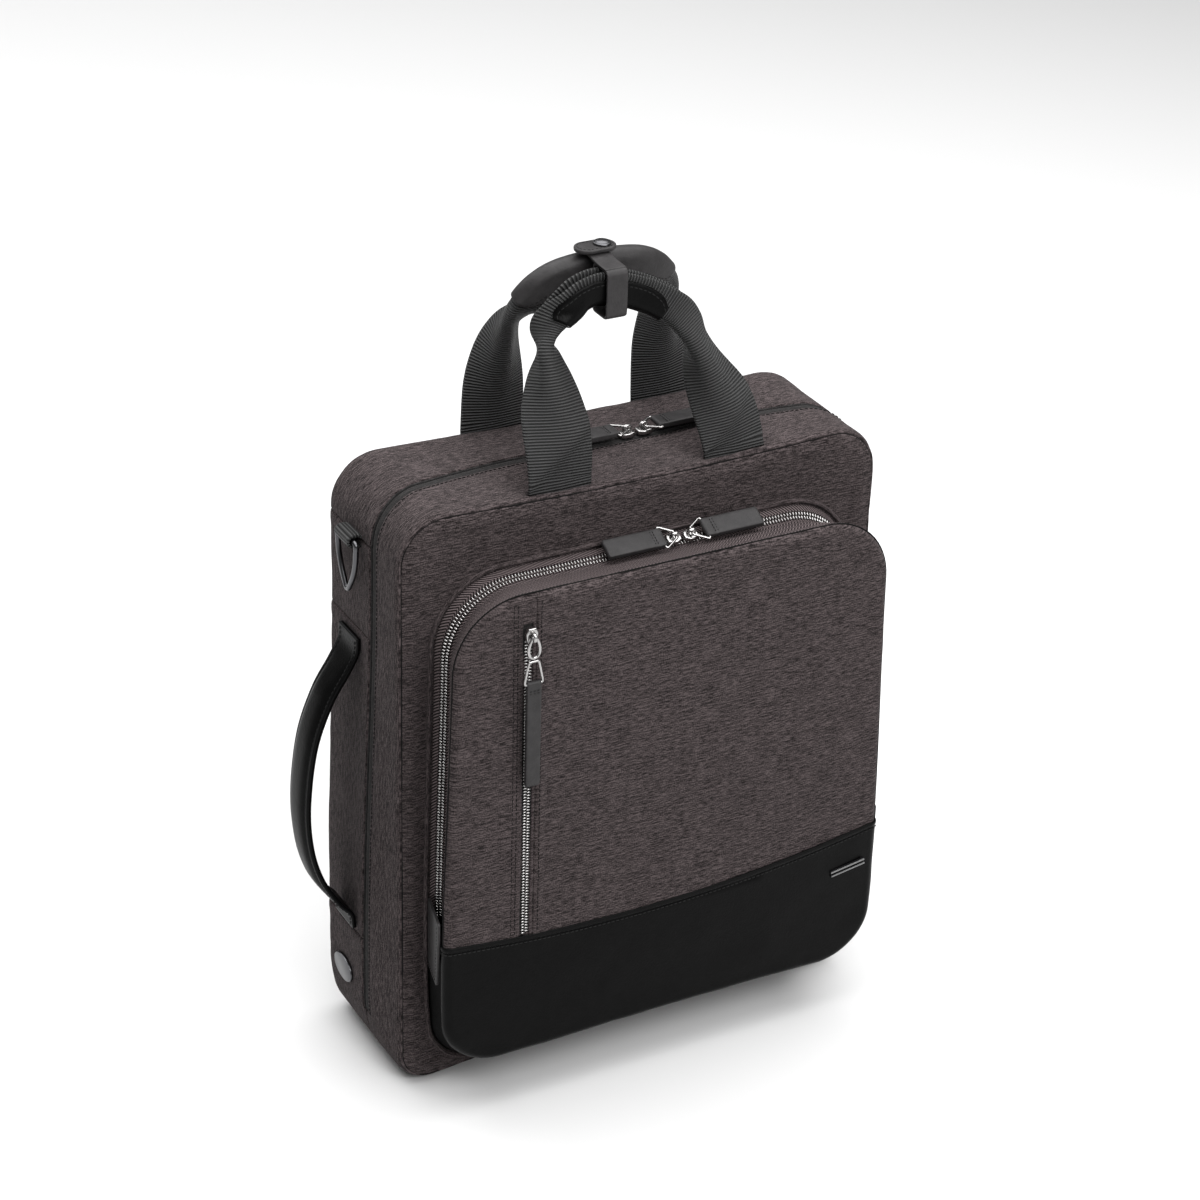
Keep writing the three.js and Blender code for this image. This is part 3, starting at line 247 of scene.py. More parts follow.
def webbing_material(name, colour, pitch=1.75):
    """Ribs run across the webbing, with fine threads along it."""
    made = material(name, colour, 0.55, specular=0.3)
    nodes = Nodes(made)
    place = nodes.add("ShaderNodeTexCoord").outputs["UV"]
    parts = nodes.add("ShaderNodeSeparateXYZ", {"Vector": place})
    along = nodes.math("MULTIPLY", parts.outputs["Y"], 2 * math.pi * 1000 / pitch)
    across = nodes.math("MULTIPLY", parts.outputs["X"], 2 * math.pi * 1000 / 0.7)
    rib = nodes.math("SINE", along)
    knot = nodes.math("SINE", across)
    height = nodes.math("ADD", rib, nodes.math("MULTIPLY", knot, 0.16))
    nodes.bump(height, 0.00055, 1.0)
    # The ribs' grooves are painted darker and their tops lighter, following the same wave as the bump:
    # painted shade and painted highlight.
    level = nodes.math("ADD", nodes.math("MULTIPLY", height, 0.42), 0.5)
    shade = nodes.ramp(level, [
        (0.12, grey(0.12, colour)), (0.5, grey(0.85, colour)), (0.9, grey(1.5, colour)),
    ])
    made.node_tree.links.new(shade, nodes.shader.inputs["Base Color"])
    return made


def herringbone_material(name, dark, light, band=4.3, pitch=2.0):
    """Slanting ribs that turn back in every band, like chevrons along the tape."""
    made = material(name, light, 0.8, specular=0.1)
    nodes = Nodes(made)
    place = nodes.add("ShaderNodeTexCoord").outputs["UV"]
    parts = nodes.add("ShaderNodeSeparateXYZ", {"Vector": place})
    fold = nodes.math("PINGPONG", parts.outputs["Y"], band / 1000)
    slant = nodes.math("ADD", parts.outputs["X"], fold)
    rib = nodes.math("SINE", nodes.math("MULTIPLY", slant, 2 * math.pi * 1000 / pitch))
    nodes.bump(rib, 0.00025, 0.8)
    # The ribs' troughs are painted dark and their crests light, following the same wave as the bump: painted
    # shade and painted highlight on the weave.
    level = nodes.math("ADD", nodes.math("MULTIPLY", rib, 0.5), 0.5)
    shade = nodes.ramp(level, [(0.15, dark), (0.85, light)])
    made.node_tree.links.new(shade, nodes.shader.inputs["Base Color"])
    return made


WARM = (1.17, 0.94, 0.95)
cloth = cloth_material("melange_cloth", 0.008, 0.07, WARM)
piping_cloth = cloth_material("piping_cloth", 0.012, 0.07, WARM)
tape = herringbone_material("herringbone_tape", grey(0.005, WARM), grey(0.11, WARM))
plain_tape = cloth_material("plain_tape", 0.012, 0.03, (1.04, 0.98, 0.98))
# This black leather also covers the front grip's wrap, where it is painted shade for leather lying in
# shadow.
black_leather_and_grip_shade = leather_material("black_leather_and_grip_shade", grey(0.002), 0.36, 0.06)
grey_leather = leather_material("grey_leather", (0.026, 0.0245, 0.025), 0.48, 0.2)
webbing = webbing_material("ribbed_webbing", grey(0.032))
nickel = material("polished_nickel", (0.4, 0.39, 0.385), 0.25, 1.0)
dark_metal = material("dark_metal", (0.012, 0.012, 0.013), 0.4, 1.0)
plate_metal = material("plate_metal", (0.2, 0.2, 0.2), 0.3, 1.0)
gunmetal = material("gunmetal", (0.09, 0.09, 0.095), 0.28, 1.0)
thread = material("thread", grey(0.012), 0.7, specular=0.15)
# This black also makes the tubes laid in the body's seams and under the pocket panel's rolled edge: painted
# shade.
black_thread_and_shade_lines = material("black_thread_and_shade_lines", grey(0.004), 0.7, specular=0.1)


# Meshes


def add_object(name, points, faces, made, uvs=None, body="bag"):
    """An object from points in millimetres, with one texture coordinate a corner."""
    mesh = bpy.data.meshes.new(name)
    mesh.from_pydata(((np.asarray(points) + SHIFT) / 1000).tolist(), [], [list(f) for f in faces])
    if uvs is not None:
        layer = mesh.uv_layers.new(name="flat")
        layer.data.foreach_set("uv", np.asarray(uvs, float).ravel())
    mesh.polygons.foreach_set("use_smooth", np.full(len(mesh.polygons), True))
    mesh.materials.append(made)
    placed = bpy.data.objects.new(name, mesh)
    bpy.context.collection.objects.link(placed)
    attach(placed, body)
    return placed


def grid_faces(rows, columns, wrap):
    across = np.arange(columns if wrap else columns - 1)
    down = np.arange(rows - 1)[:, None]
    first = down * columns + across
    second = down * columns + (across + 1) % columns
    return np.stack([first, second, second + columns, first + columns], -1).reshape(-1, 4)


def grid_uvs(flat):
    """The corners' texture coordinates, from an array of rows by columns (one more if wrapped)."""
    return np.stack([flat[:-1, :-1], flat[:-1, 1:], flat[1:, 1:], flat[1:, :-1]], 2).reshape(-1, 2)


def lengths(points):
    """Distance along each row from its first point."""
    steps = np.linalg.norm(np.diff(points, axis=-2), axis=-1)
    return np.concatenate([np.zeros(steps.shape[:-1] + (1,)), np.cumsum(steps, -1)], -1)


def default_uvs(points, wrap):
    """Across in the first coordinate, along the rows in the second, in metres."""
    ringed = np.concatenate([points, points[:, :1]], 1) if wrap else points
    across = lengths(ringed)
    across = np.broadcast_to(across.mean(0), across.shape)
    along = lengths(np.swapaxes(points, 0, 1)).mean(0)
    along = np.broadcast_to(along[:, None], across.shape)
    return np.stack([across, along], -1) / 1000


def grid_object(name, points, made, wrap=False, caps=False, uv=None, flip=False, body="bag"):
    rows, columns = points.shape[:2]
    faces = grid_faces(rows, columns, wrap)
    uvs = grid_uvs(default_uvs(points, wrap) if uv is None else uv)
    if flip:
        faces = faces[:, ::-1]
        uvs = uvs.reshape(-1, 4, 2)[:, ::-1].reshape(-1, 2)
    faces = [list(f) for f in faces]
    if caps:
        ends = (list(range(columns))[::-1], list(range((rows - 1) * columns, rows * columns)))
        faces += ends if not flip else [end[::-1] for end in ends]
        uvs = np.concatenate([uvs, np.zeros((2 * columns, 2))])
    return add_object(name, points.reshape(-1, 3), faces, made, uvs, body)


def outward_normals(points, middle):
    """Unit normals of a grid of closed rows, away from the middle, and the sign that turned them so."""
    across = np.roll(points, -1, 1) - np.roll(points, 1, 1)
    normals = unit(np.cross(across, np.gradient(points, axis=0)))
    facing = np.sign(np.sum(normals * (points - np.array(middle))))
    return normals * facing, facing


def merge_points(target):
    mesh = bmesh.new()
    mesh.from_mesh(target.data)
    bmesh.ops.remove_doubles(mesh, verts=mesh.verts, dist=1e-5)
    mesh.to_mesh(target.data)
    mesh.free()


def thicken(target, thickness, offset):
    made = target.modifiers.new("thickness", "SOLIDIFY")
    made.thickness = thickness / 1000
    made.offset = offset
    made.use_rim = True


def copies(name, template, faces, centres, along, side, up, made):
    """One mesh of many small pieces: template points are (along, side, up)."""
    template = np.asarray(template, float)
    points = (
        centres[:, None]
        + template[None, :, :1] * along[:, None]
        + template[None, :, 1:2] * side[:, None]
        + template[None, :, 2:] * up[:, None]
    )
    count = len(template)
    all_faces = [[index + n * count for index in face] for n in range(len(centres)) for face in faces]
    return add_object(name, points.reshape(-1, 3), all_faces, made)


def unit(vectors):
    return vectors / np.maximum(np.linalg.norm(vectors, axis=-1, keepdims=True), 1e-9)


def resample(path, normals, pitch):
    """Points, directions and normals at even distances along a path."""
    reach = lengths(path)
    count = max(2, int(reach[-1] / pitch))
    places = (np.arange(count) + 0.5) * reach[-1] / count
    points = np.stack([np.interp(places, reach, path[:, k]) for k in range(3)], -1)
    ups = unit(np.stack([np.interp(places, reach, normals[:, k]) for k in range(3)], -1))
    ahead = np.stack([np.interp(places + 0.3, reach, path[:, k]) for k in range(3)], -1)
    behind = np.stack([np.interp(places - 0.3, reach, path[:, k]) for k in range(3)], -1)
    along = unit(ahead - behind)
    return points, along, unit(np.cross(ups, along)), ups


STITCH_STATIONS = ((-0.5, 0.35), (-0.36, 0.9), (0, 1.0), (0.36, 0.9), (0.5, 0.35))


def stitch_template(length, radius):
    points = []
    for share, width in STITCH_STATIONS:
        for k in range(6):
            angle = k * math.pi / 3
            lift = radius * (0.35 - 1.2 * abs(share))
            side = radius * width * math.cos(angle)
            points.append((share * length, side, lift + radius * width * math.sin(angle)))
    faces = [
        [6 * row + k, 6 * row + (k + 1) % 6, 6 * row + 6 + (k + 1) % 6, 6 * row + 6 + k]
        for row in range(len(STITCH_STATIONS) - 1) for k in range(6)
    ]
    return points, faces + [[5, 4, 3, 2, 1, 0], [24, 25, 26, 27, 28, 29]]


def stitches(name, runs, made, pitch=3.2, radius=0.3):
    """Stitches along several runs of (path, normals)."""
    template, faces = stitch_template(pitch * 0.74, radius)
    parts = [resample(np.asarray(path, float), np.asarray(normals, float), pitch) for path, normals in runs]
    centres, along, side, up = (np.concatenate([part[k] for part in parts]) for k in range(4))
    return copies(name, template, faces, centres, along, side, up, made)


def tube(path, radius, sides=10, closed=False, flatten=1.0, normal=None):
    """A wire as a grid of rings round a path."""
    path = np.asarray(path, float)
    if closed:
        along = unit(np.roll(path, -1, 0) - np.roll(path, 1, 0))
    else:
        along = unit(np.gradient(path, axis=0))
    normal = np.array([0, 0, 1.0]) if normal is None else np.asarray(normal, float)
    side = unit(np.cross(along, normal))
    up = unit(np.cross(side, along))
    angles = np.arange(sides) * 2 * np.pi / sides
    outward = np.cos(angles)[None, :, None] * side[:, None]
    outward = outward + flatten * np.sin(angles)[None, :, None] * up[:, None]
    radii = np.broadcast_to(np.asarray(radius, float), (len(path),))
    points = path[:, None] + radii[:, None, None] * outward
    return np.concatenate([points, points[:1]]) if closed else points


def rounded_path(path, count, closed=False):
    """A smooth curve through the points."""
    path = np.asarray(path, float)
    if closed:
        around = np.concatenate([path[-1:], path, path[:2]])
    else:
        around = np.concatenate([2 * path[:1] - path[1:2], path, 2 * path[-1:] - path[-2:-1]])
    spans = len(around) - 3
    t = np.linspace(0, spans, count, endpoint=not closed)
    span = np.minimum(t.astype(int), spans - 1)
    t = (t - span)[:, None]
    a, b, c, d = (around[span + k] for k in range(4))
    return 0.5 * (2 * b + (c - a) * t + (2 * a - 5 * b + 4 * c - d) * t**2 + (3 * b - a - 3 * c + d) * t**3)


def rounded_section(width, height, count=28, groove=0.0):
    """A rounded rectangle as points round it: across, and up."""
    angles = np.arange(count) * 2 * np.pi / count + np.pi / count
    power = 2 / 7
    x = np.sign(np.cos(angles)) * np.abs(np.cos(angles)) ** power
    z = np.sign(np.sin(angles)) * np.abs(np.sin(angles)) ** power
    x = x * (1 - groove * bump(z, 0, 0.3))
    return np.stack([x * width / 2, z * height / 2], -1)


def bevelled(name, outline, depth, bevel, origin, x_axis, y_axis, z_axis, made, segments=2):
    """A flat outline thickened along z_axis, with rounded edges."""
    mesh = bmesh.new()
    low = [mesh.verts.new((x, y, 0)) for x, y in outline]
    face = mesh.faces.new(low)
    raised = bmesh.ops.extrude_face_region(mesh, geom=[face])
    lifted = [part for part in raised["geom"] if isinstance(part, bmesh.types.BMVert)]
    bmesh.ops.translate(mesh, vec=(0, 0, depth), verts=lifted)
    bmesh.ops.recalc_face_normals(mesh, faces=mesh.faces)
    flat_edges = [e for e in mesh.edges if abs(e.verts[0].co.z - e.verts[1].co.z) < 1e-6]
    bmesh.ops.bevel(mesh, geom=flat_edges, offset=bevel, segments=segments, affect="EDGES", profile=0.5)
    mesh.verts.ensure_lookup_table()
    local = np.array([v.co[:] for v in mesh.verts])
    mesh.verts.index_update()
    faces = [[v.index for v in f.verts] for f in mesh.faces]
    mesh.free()
    axes = np.array([x_axis, y_axis, z_axis], float)
    placed = add_object(name, np.asarray(origin) + local @ axes, faces, made)
    placed.data.shade_smooth()
    edges = placed.modifiers.new("edges", "EDGE_SPLIT")
    edges.split_angle = math.radians(38)
    return placed


def stands_for(target, slot, *nodes):
    if nodes:
        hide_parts(*nodes)
    return target


# Rings round the body and the pocket


def ring(section, stops, inset=0.0, shares=EVEN_SHARES):
    """Points (x, z) round a rounded rectangle, from the middle of its bottom by the right side."""
    half = section["half"] - inset
    bottom = section["bottom"] + inset
    top = section["top"] - inset
    top_radius = min(max(section["top_radius"] - inset, 4), max(half, 0))
    bottom_radius = min(max(section["bottom_radius"] - inset, 4), max(half, 0))
    foot = bottom + bottom_radius
    head = top - top_radius
    quarter = np.linspace(0, np.pi / 2, CORNER + 1)[1:-1]

    def side(stop):
        stop = max(stop, foot + 6)
        return np.concatenate([np.linspace(foot, stop, BELOW + 1), (stop + (head - stop) * shares)[1:]])

    def arc(cx, cz, radius, start):
        return np.stack([cx + radius * np.cos(start + quarter), cz + radius * np.sin(start + quarter)], -1)

    def flat(x, z):
        x, z = np.broadcast_arrays(x, z)
        return np.stack([x, z], -1)

    low, high = half - bottom_radius, half - top_radius
    points = np.concatenate([
        flat(np.linspace(0, low, BOTTOM + 1), bottom),
        arc(low, foot, bottom_radius, -np.pi / 2),
        flat(half, side(stops[1])),
        arc(high, head, top_radius, 0),
        flat(np.linspace(high, -high, TOP + 1), top),
        arc(-high, head, top_radius, np.pi / 2),
        flat(-half, side(stops[0])[::-1]),
        arc(-low, foot, bottom_radius, np.pi),
        flat(np.linspace(-low, 0, BOTTOM + 1), bottom)[:-1],
    ])
    return points + np.array([section["centre"], 0])


RIGHT_STOP = BOTTOM + CORNER + BELOW


def body_swell(z):
    """How far the body's sides swell at a height, as a share."""
    return smooth(z, 0, 45) * (1 - smooth(z, 90, 325.55))


def soften_body(x, y, z):
    """Sags the top, swells the sides and lifts the front edge of the base."""
    x, y, z = np.broadcast_arrays(x, y, z)
    across = x / BODY["half"]
    span = np.maximum(0, 1 - across**2)
    sag = 4 * span * smooth(z, 306.4, BODY["top"])
    behind = smooth(y, FRONT_Y, -16.27)
    front = smooth(-y, 38.5, 46.85)
    lift = (1 + 7 * span) * front * (1 - smooth(z, 0, 70))
    return np.stack([x + across * BODY_SWELL * body_swell(z) * behind, y, z - sag + lift], -1)


def zip_line(x, z):
    """Y of the main zip's middle line, up the sides and over the top."""
    turn = np.clip((np.abs(x) - 60) / (BODY["half"] - 60), 0, 1)
    corner_z = BODY["top"] - BODY["top_radius"]
    return np.where(z < corner_z, 7 * (1 - z / BODY["top"]) - 16, -16 * turn**1.5)


def pocket_swell(z):
    """How far the pocket's sides swell at a height, as a share."""
    return smooth(z, 0, 80) * (1 - smooth(z, 110, 323.2))


def soften_pocket(x, y, z):
    """Swells the pocket's sides, arches its base and crowns its face."""
    x, y, z = np.broadcast_arrays(x, y, z)
    out = np.clip((FRONT_Y - y) / POCKET_DEPTH, 0, 1)
    across = (x - POCKET_CENTRE) / POCKET_HALF
    span = np.clip(1 - across**2, 0, 1)
    arch = 5 * span * (1 - smooth(z, 0, 70))
    crown = 3 * smooth(out, 0.55, 0.94) * span * smooth(z, 20, 110) * (1 - smooth(z, 200, POCKET_TOP))
    return np.stack([x + across * (3 + 2.5 * out) * pocket_swell(z), y - crown, z + arch], -1)


def pocket_growth(reach):
    """How far the pocket's outline has grown at a distance from the body."""
    spread = np.array([-1.2, -0.6, 0, 0.6, 1.2])
    reaches = np.clip(reach + spread, *SECTION_REACH[::2])
    grow = np.interp(reaches, SECTION_REACH, SECTION_GROW).mean()
    grow_top = np.interp(reaches, SECTION_REACH, SECTION_GROW_TOP).mean()
    rise = np.interp(reach, SECTION_REACH, SECTION_RISE)
    return grow, grow_top, rise


def pocket_section(grow=0.0, grow_top=0.0, rise=0.0):
    return {
        "centre": POCKET_CENTRE,
        "half": POCKET_HALF + grow,
        "bottom": POCKET_BOTTOM + rise,
        "top": POCKET_TOP + grow_top,
        "top_radius": 43,
        "bottom_radius": 34,
    }


def pocket_row(reach, inset=0.0, y=None):
    """One line round the pocket at a distance from the body."""
    flat = ring(pocket_section(*pocket_growth(reach)), POCKET_STOPS, inset)
    return soften_pocket(flat[:, 0], FRONT_Y - reach if y is None else y, flat[:, 1])


# Body of the bag


def body_uvs(points, gusset_rows):
    """Along the gusset up to the seam, then X and Z on the face."""
    ringed = np.concatenate([points, points[:, :1]], 1)
    along = np.broadcast_to(lengths(ringed)[4], ringed.shape[:2])
    gusset = np.stack([along, ringed[..., 1]], -1)
    face = np.stack([ringed[..., 0], ringed[..., 2]], -1)
    corners = grid_uvs(gusset / 1000).reshape(len(points) - 1, -1, 2)
    face_corners = grid_uvs(face / 1000).reshape(len(points) - 1, -1, 2)
    corners[gusset_rows:] = face_corners[gusset_rows:]
    return corners.reshape(-1, 2)


ROLL_ANGLES = (0, 14, 28, 40, 48, 54, 57, 60, 63, 66, 72, 80, 90)
SEAM_ANGLE = 60
FACE_STEPS = (1, 2, 3.2, 4.6, 6.2, 8, 10, 12.5, 15.5, 19, 23, 28, 34, 41, 49, 58, 68, 80, 93, 107, 122, 137)


def body_skin(name, node, face, roll, crown, seed):
    """One half of the body: from the zip over the gusset and the rolled seam to the face's middle."""
    side = np.sign(face)
    base = ring(BODY, (ZIP_END, ZIP_END), shares=BODY_SHARES)
    count = len(base)
    index = np.arange(count)
    zipped = (index >= RIGHT_STOP) & (index <= count - RIGHT_STOP)
    rim = zip_line(base[:, 0], base[:, 1]) + side * np.where(zipped, ZIP_HALF, 0.15)
    roll_start = face - side * roll
    rows = []

    def add(inset, y):
        flat = ring(BODY, (ZIP_END, ZIP_END), inset, BODY_SHARES)
        rows.append(soften_body(flat[:, 0], y, flat[:, 1]))

    for inset, back in ((3.4, 0), (1.4, 0), (0.5, 0.1), (0.12, 0.45), (0, 1)):
        add(inset, rim + side * back)
    for share in np.linspace(0, 1, 18)[1:-1]:
        add(0, rim + side + (roll_start - rim - side) * share)
    gusset_rows = 0
    for angle in ROLL_ANGLES:
        if angle <= SEAM_ANGLE:
            gusset_rows = len(rows)
        groove = bump(angle, SEAM_ANGLE, 24 / roll)
        swell = 0.35 * bump(angle, SEAM_ANGLE - 60 / roll, 60 / roll)
        radius = roll - groove + swell
        turn = math.radians(angle)
        add(roll - radius * math.cos(turn), roll_start + side * radius * math.sin(turn))
    for step in (*FACE_STEPS, BODY["half"] - roll):
        share = (step + roll) / BODY["half"]
        puff = 0.9 * float(bump(step, 5, 4.5))
        bulge = crown * (1 - (1 - share) ** 3.15) + puff * float(smooth(step, 0, 3))
        add(roll + step, face + side * bulge)
    points = np.array(rows)
    normals, facing = outward_normals(points, (0, 0, 190))
    gusset = np.zeros(points.shape[:2])
    gusset[:gusset_rows] = 1
    sides = gusset * (np.abs(points[..., 0]) > 150) * (side > 0)
    relief = 0.55 * noise(points, 34, seed) + 0.3 * noise(points, 13, seed + 1)
    relief *= smooth(np.arange(len(rows)), 3, 10)[:, None]
    relief = relief - 1.1 * sum(bump(points[..., 2], z, 0.75) for z in DARTS) * sides
    relief = relief + 0.5 * sum(bump(points[..., 2], z - 5, 4) for z in DARTS) * sides
    pucker = noise(points * np.array([1, 0.3, 1]), 5.5, seed + 2)
    near_seam = np.exp(-np.abs(np.arange(len(rows)) - gusset_rows) / 5.0)[:, None]
    points = points + normals * (relief + 0.28 * pucker * near_seam)[..., None]
    uvs = body_uvs(points, gusset_rows)
    faces = grid_faces(len(points), count, True)
    if facing < 0:
        faces = faces[:, ::-1]
        uvs = uvs.reshape(-1, 4, 2)[:, ::-1].reshape(-1, 2)
    made = add_object(name, points.reshape(-1, 3), faces, cloth, uvs)
    merge_points(made)
    # A black tube laid along the seam's crease, darker than the cloth: painted shade in the crease.
    seam = points[gusset_rows]
    seam = seam[np.linalg.norm(seam - np.roll(seam, 1, 0), axis=1) > 0.05]
    line = tube(seam, 0.5, 6, closed=True, normal=(0, 1, 0))
    grid_object(name.replace("cloth", "seam"), line, black_thread_and_shade_lines, wrap=True)
    return stands_for(made, "body_cloth", node)


body_skin("front_body_cloth", "front_shell", FRONT_Y, FRONT_ROLL, 0, 3)
body_skin("back_body_cloth", "back_shell", BACK_Y, BACK_ROLL, BACK_CROWN, 7)


def ring_slice(points):
    """The part of a ring from the right stop over the top to the left one."""
    return points[RIGHT_STOP:len(points) - RIGHT_STOP + 1]


def zip_row(inset, offset):
    """One line along the main zip, from its right end over the top to its left end."""
    flat = ring(BODY, (ZIP_END, ZIP_END), inset, BODY_SHARES)
    base = ring(BODY, (ZIP_END, ZIP_END), 0, BODY_SHARES)
    line = zip_line(base[:, 0], base[:, 1]) + offset
    return ring_slice(soften_body(flat[:, 0], line, flat[:, 1]))


# Across the main zip: offset in Y and depth below the cloth
ZIP_PROFILE = (
    (-4.4, 1.7), (-4.05, 1.2), (-3.7, 0.75), (-2.4, 0.7), (-0.6, 0.7), (1.0, 0.75), (1.35, 0.95),
    (1.6, 1.7), (2.2, 1.7), (2.45, 0.8), (2.7, 0.55), (3.2, 0.55), (3.45, 0.9), (3.7, 1.7), (4.4, 1.8),
)
ZIP_COIL = 1.9
EDGE_STITCH = -6.3
zip_points = np.array([zip_row(depth, offset) for offset, depth in ZIP_PROFILE])
zip_along = lengths(zip_points).mean(0)
zip_across = np.array([offset for offset, _ in ZIP_PROFILE])
zip_uv = np.stack(np.broadcast_arrays(zip_along[None], zip_across[:, None]), -1) / 1000
main_zip = grid_object("main_zip_band", zip_points, plain_tape, uv=zip_uv)
stands_for(main_zip, "zip_tape", "main_zip_tape")

coil_out = unit(zip_row(0.0, ZIP_COIL) - zip_row(3.0, ZIP_COIL))
coil_template = [(-0.42, -0.45, -0.5), (0.42, -0.45, -0.5), (0.42, 0.45, -0.5), (-0.42, 0.45, -0.5),
                 (-0.3, -0.3, 0.4), (0.3, -0.3, 0.4), (0.3, 0.3, 0.4), (-0.3, 0.3, 0.4)]
coil_faces = [[0, 1, 5, 4], [1, 2, 6, 5], [2, 3, 7, 6], [3, 0, 4, 7], [4, 5, 6, 7]]
centres, along, side, up = resample(zip_row(1.2, ZIP_COIL), coil_out, 1.3)
coil = copies("main_zip_coil", coil_template, coil_faces, centres, along, side, up, black_thread_and_shade_lines)
flap_out = unit(zip_row(-3.0, EDGE_STITCH) - zip_row(0.0, EDGE_STITCH))
flap_runs = [(zip_row(-0.15, EDGE_STITCH), flap_out)]
stitches("main_zip_stitches", flap_runs, black_thread_and_shade_lines, pitch=3.0, radius=0.3)


# Front pocket: leather line, cloth panel and leather wrap


def leather_z(x):
    t = np.clip((np.asarray(x, float) + 139.4) / 282, 0, 1)
    return (1 - t) ** 2 * 123.6 + 2 * t * (1 - t) * 109.9 + t**2 * 131


def cut_along_line(target, keep_above, drop):
    """Cuts a skin along the leather's curved top edge, moved down by drop."""
    mesh = bmesh.new()
    mesh.from_mesh(target.data)
    places = np.array([v.co[:] for v in mesh.verts]) * 1000 - SHIFT
    heights = (leather_z(places[:, 0]) - drop) / 1000
    for vertex, height in zip(mesh.verts, heights):
        vertex.co.z -= height
    bmesh.ops.bisect_plane(
        mesh, geom=[*mesh.verts, *mesh.edges, *mesh.faces], dist=1e-7,
        plane_co=(0, 0, 0), plane_no=(0, 0, 1), clear_inner=keep_above, clear_outer=not keep_above,
    )
    for vertex in mesh.verts:
        place = vertex.co.x * 1000 - SHIFT[0]
        vertex.co.z += (float(leather_z(place)) - drop) / 1000
    mesh.to_mesh(target.data)
    mesh.free()


POCKET_STEPS = (1, 2, 3, 4.2, 5.6, 7.4, 9.6, 12.2, 15.2, 18.6, 22.4, 26.6, 31.2, 36.4, 42.4, 49, 56, 64,
                73, 83, 94, 106, 119)
ROLL_TURNS = (0, 12, 24, 36, 48, 60, 70, 80, 90)


def pocket_front_rows(lift):
    """Rows over the rolled edge of the pocket and across its face."""
    radius = POCKET_ROLL + lift
    rows = []
    for angle in ROLL_TURNS:
        turn = math.radians(angle)
        y = POCKET_FACE + POCKET_ROLL - radius * math.sin(turn)
        rows.append(pocket_row(PANEL_REACH, POCKET_ROLL - radius * math.cos(turn), y))
    half = POCKET_HALF + SECTION_GROW[2]
    for step in (*POCKET_STEPS, half - POCKET_ROLL):
        rows.append(pocket_row(PANEL_REACH, POCKET_ROLL + step, POCKET_FACE - lift))
    return rows


def pocket_skin(name, rows, made, seed, strength):
    points = np.array(rows)
    normals, facing = outward_normals(points, (0, -40, 170))
    relief = strength * (0.6 * noise(points, 38, seed) + 0.3 * noise(points, 15, seed + 1))
    on_front = (points[..., 1] < POCKET_FACE + 4) * (points[..., 2] > 118)
    sunk = 1.15 * bump(points[..., 0], SLIT_X, 7.5) * on_front
    points = points + normals * (relief - sunk)[..., None]
    ringed = np.concatenate([points, points[:, :1]], 1)
    uv = np.stack([ringed[..., 0], ringed[..., 2]], -1) / 1000
    skin = grid_object(name, points, made, wrap=True, uv=uv, flip=facing < 0)
    merge_points(skin)
    return skin


panel = pocket_skin("pocket_panel_cloth", pocket_front_rows(0.0), cloth, 11, 0.75)
cut_along_line(panel, keep_above=True, drop=4)
stands_for(panel, "body_cloth", "pocket_panel")

LEATHER_LIFT = 0.55
wall_reaches = (0.6, 2, 3.5, 5, 6.5, 8, 9.2, 10.2, 11.2, 12.2, 13.4, 15.5, 18, 21, 24, 27, 30, 33,
                PANEL_REACH)
leather_rows = [pocket_row(reach, -LEATHER_LIFT) for reach in wall_reaches]
leather_rows += pocket_front_rows(LEATHER_LIFT)[1:]
leather = pocket_skin("leather_wrap", leather_rows, black_leather_and_grip_shade, 19, 0.9)
cut_along_line(leather, keep_above=False, drop=0)
thicken(leather, 1.2, -1)
stands_for(leather, "leather", "leather_base")


def line_path(drop, lift):
    """A path along the leather's top edge, from the left wall over the face to the right wall."""
    half = POCKET_HALF + SECTION_GROW[2]
    places = []
    for side in (-1, 1):
        rows = []
        for reach in wall_reaches[2:]:
            grow = pocket_growth(reach)[0]
            rows.append((POCKET_CENTRE + side * (POCKET_HALF + grow + lift), FRONT_Y - reach))
        for angle in ROLL_TURNS[1:]:
            turn = math.radians(angle)
            inset = POCKET_ROLL - (POCKET_ROLL + lift) * math.cos(turn)
            rows.append((POCKET_CENTRE + side * (half - inset),
                         POCKET_FACE + POCKET_ROLL - (POCKET_ROLL + lift) * math.sin(turn)))
        places += rows if side < 0 else rows[::-1]
        if side < 0:
            edge = half - POCKET_ROLL
            places += [(x, POCKET_FACE - lift) for x in np.linspace(
                POCKET_CENTRE - edge, POCKET_CENTRE + edge, 142)[1:-1]]
    flat = np.array(places)
    rough = soften_pocket(flat[:, 0], flat[:, 1], leather_z(flat[:, 0]) - drop)
    return soften_pocket(flat[:, 0], flat[:, 1], leather_z(rough[:, 0]) - drop)


# Turned top edge of the leather: drop below the line and height over the leather
EDGE_PROFILE = ((0.5, -1.0), (-0.15, -0.1), (-0.1, 0.28), (0.4, 0.5), (1.3, 0.55), (2.2, 0.42), (2.9, 0.16),
                (3.3, -0.3))
LEATHER_STITCH = 4.4
edge_points = np.array([line_path(drop, LEATHER_LIFT + rise) for drop, rise in EDGE_PROFILE])
edge = grid_object("leather_turned_edge", edge_points, black_leather_and_grip_shade)
edge_outward = unit(line_path(LEATHER_STITCH, 3.0) - line_path(LEATHER_STITCH, 0.0))
edge_runs = [(line_path(LEATHER_STITCH, LEATHER_LIFT + 0.32), edge_outward)]
stitches("leather_edge_stitches", edge_runs, thread, pitch=3.0, radius=0.3)

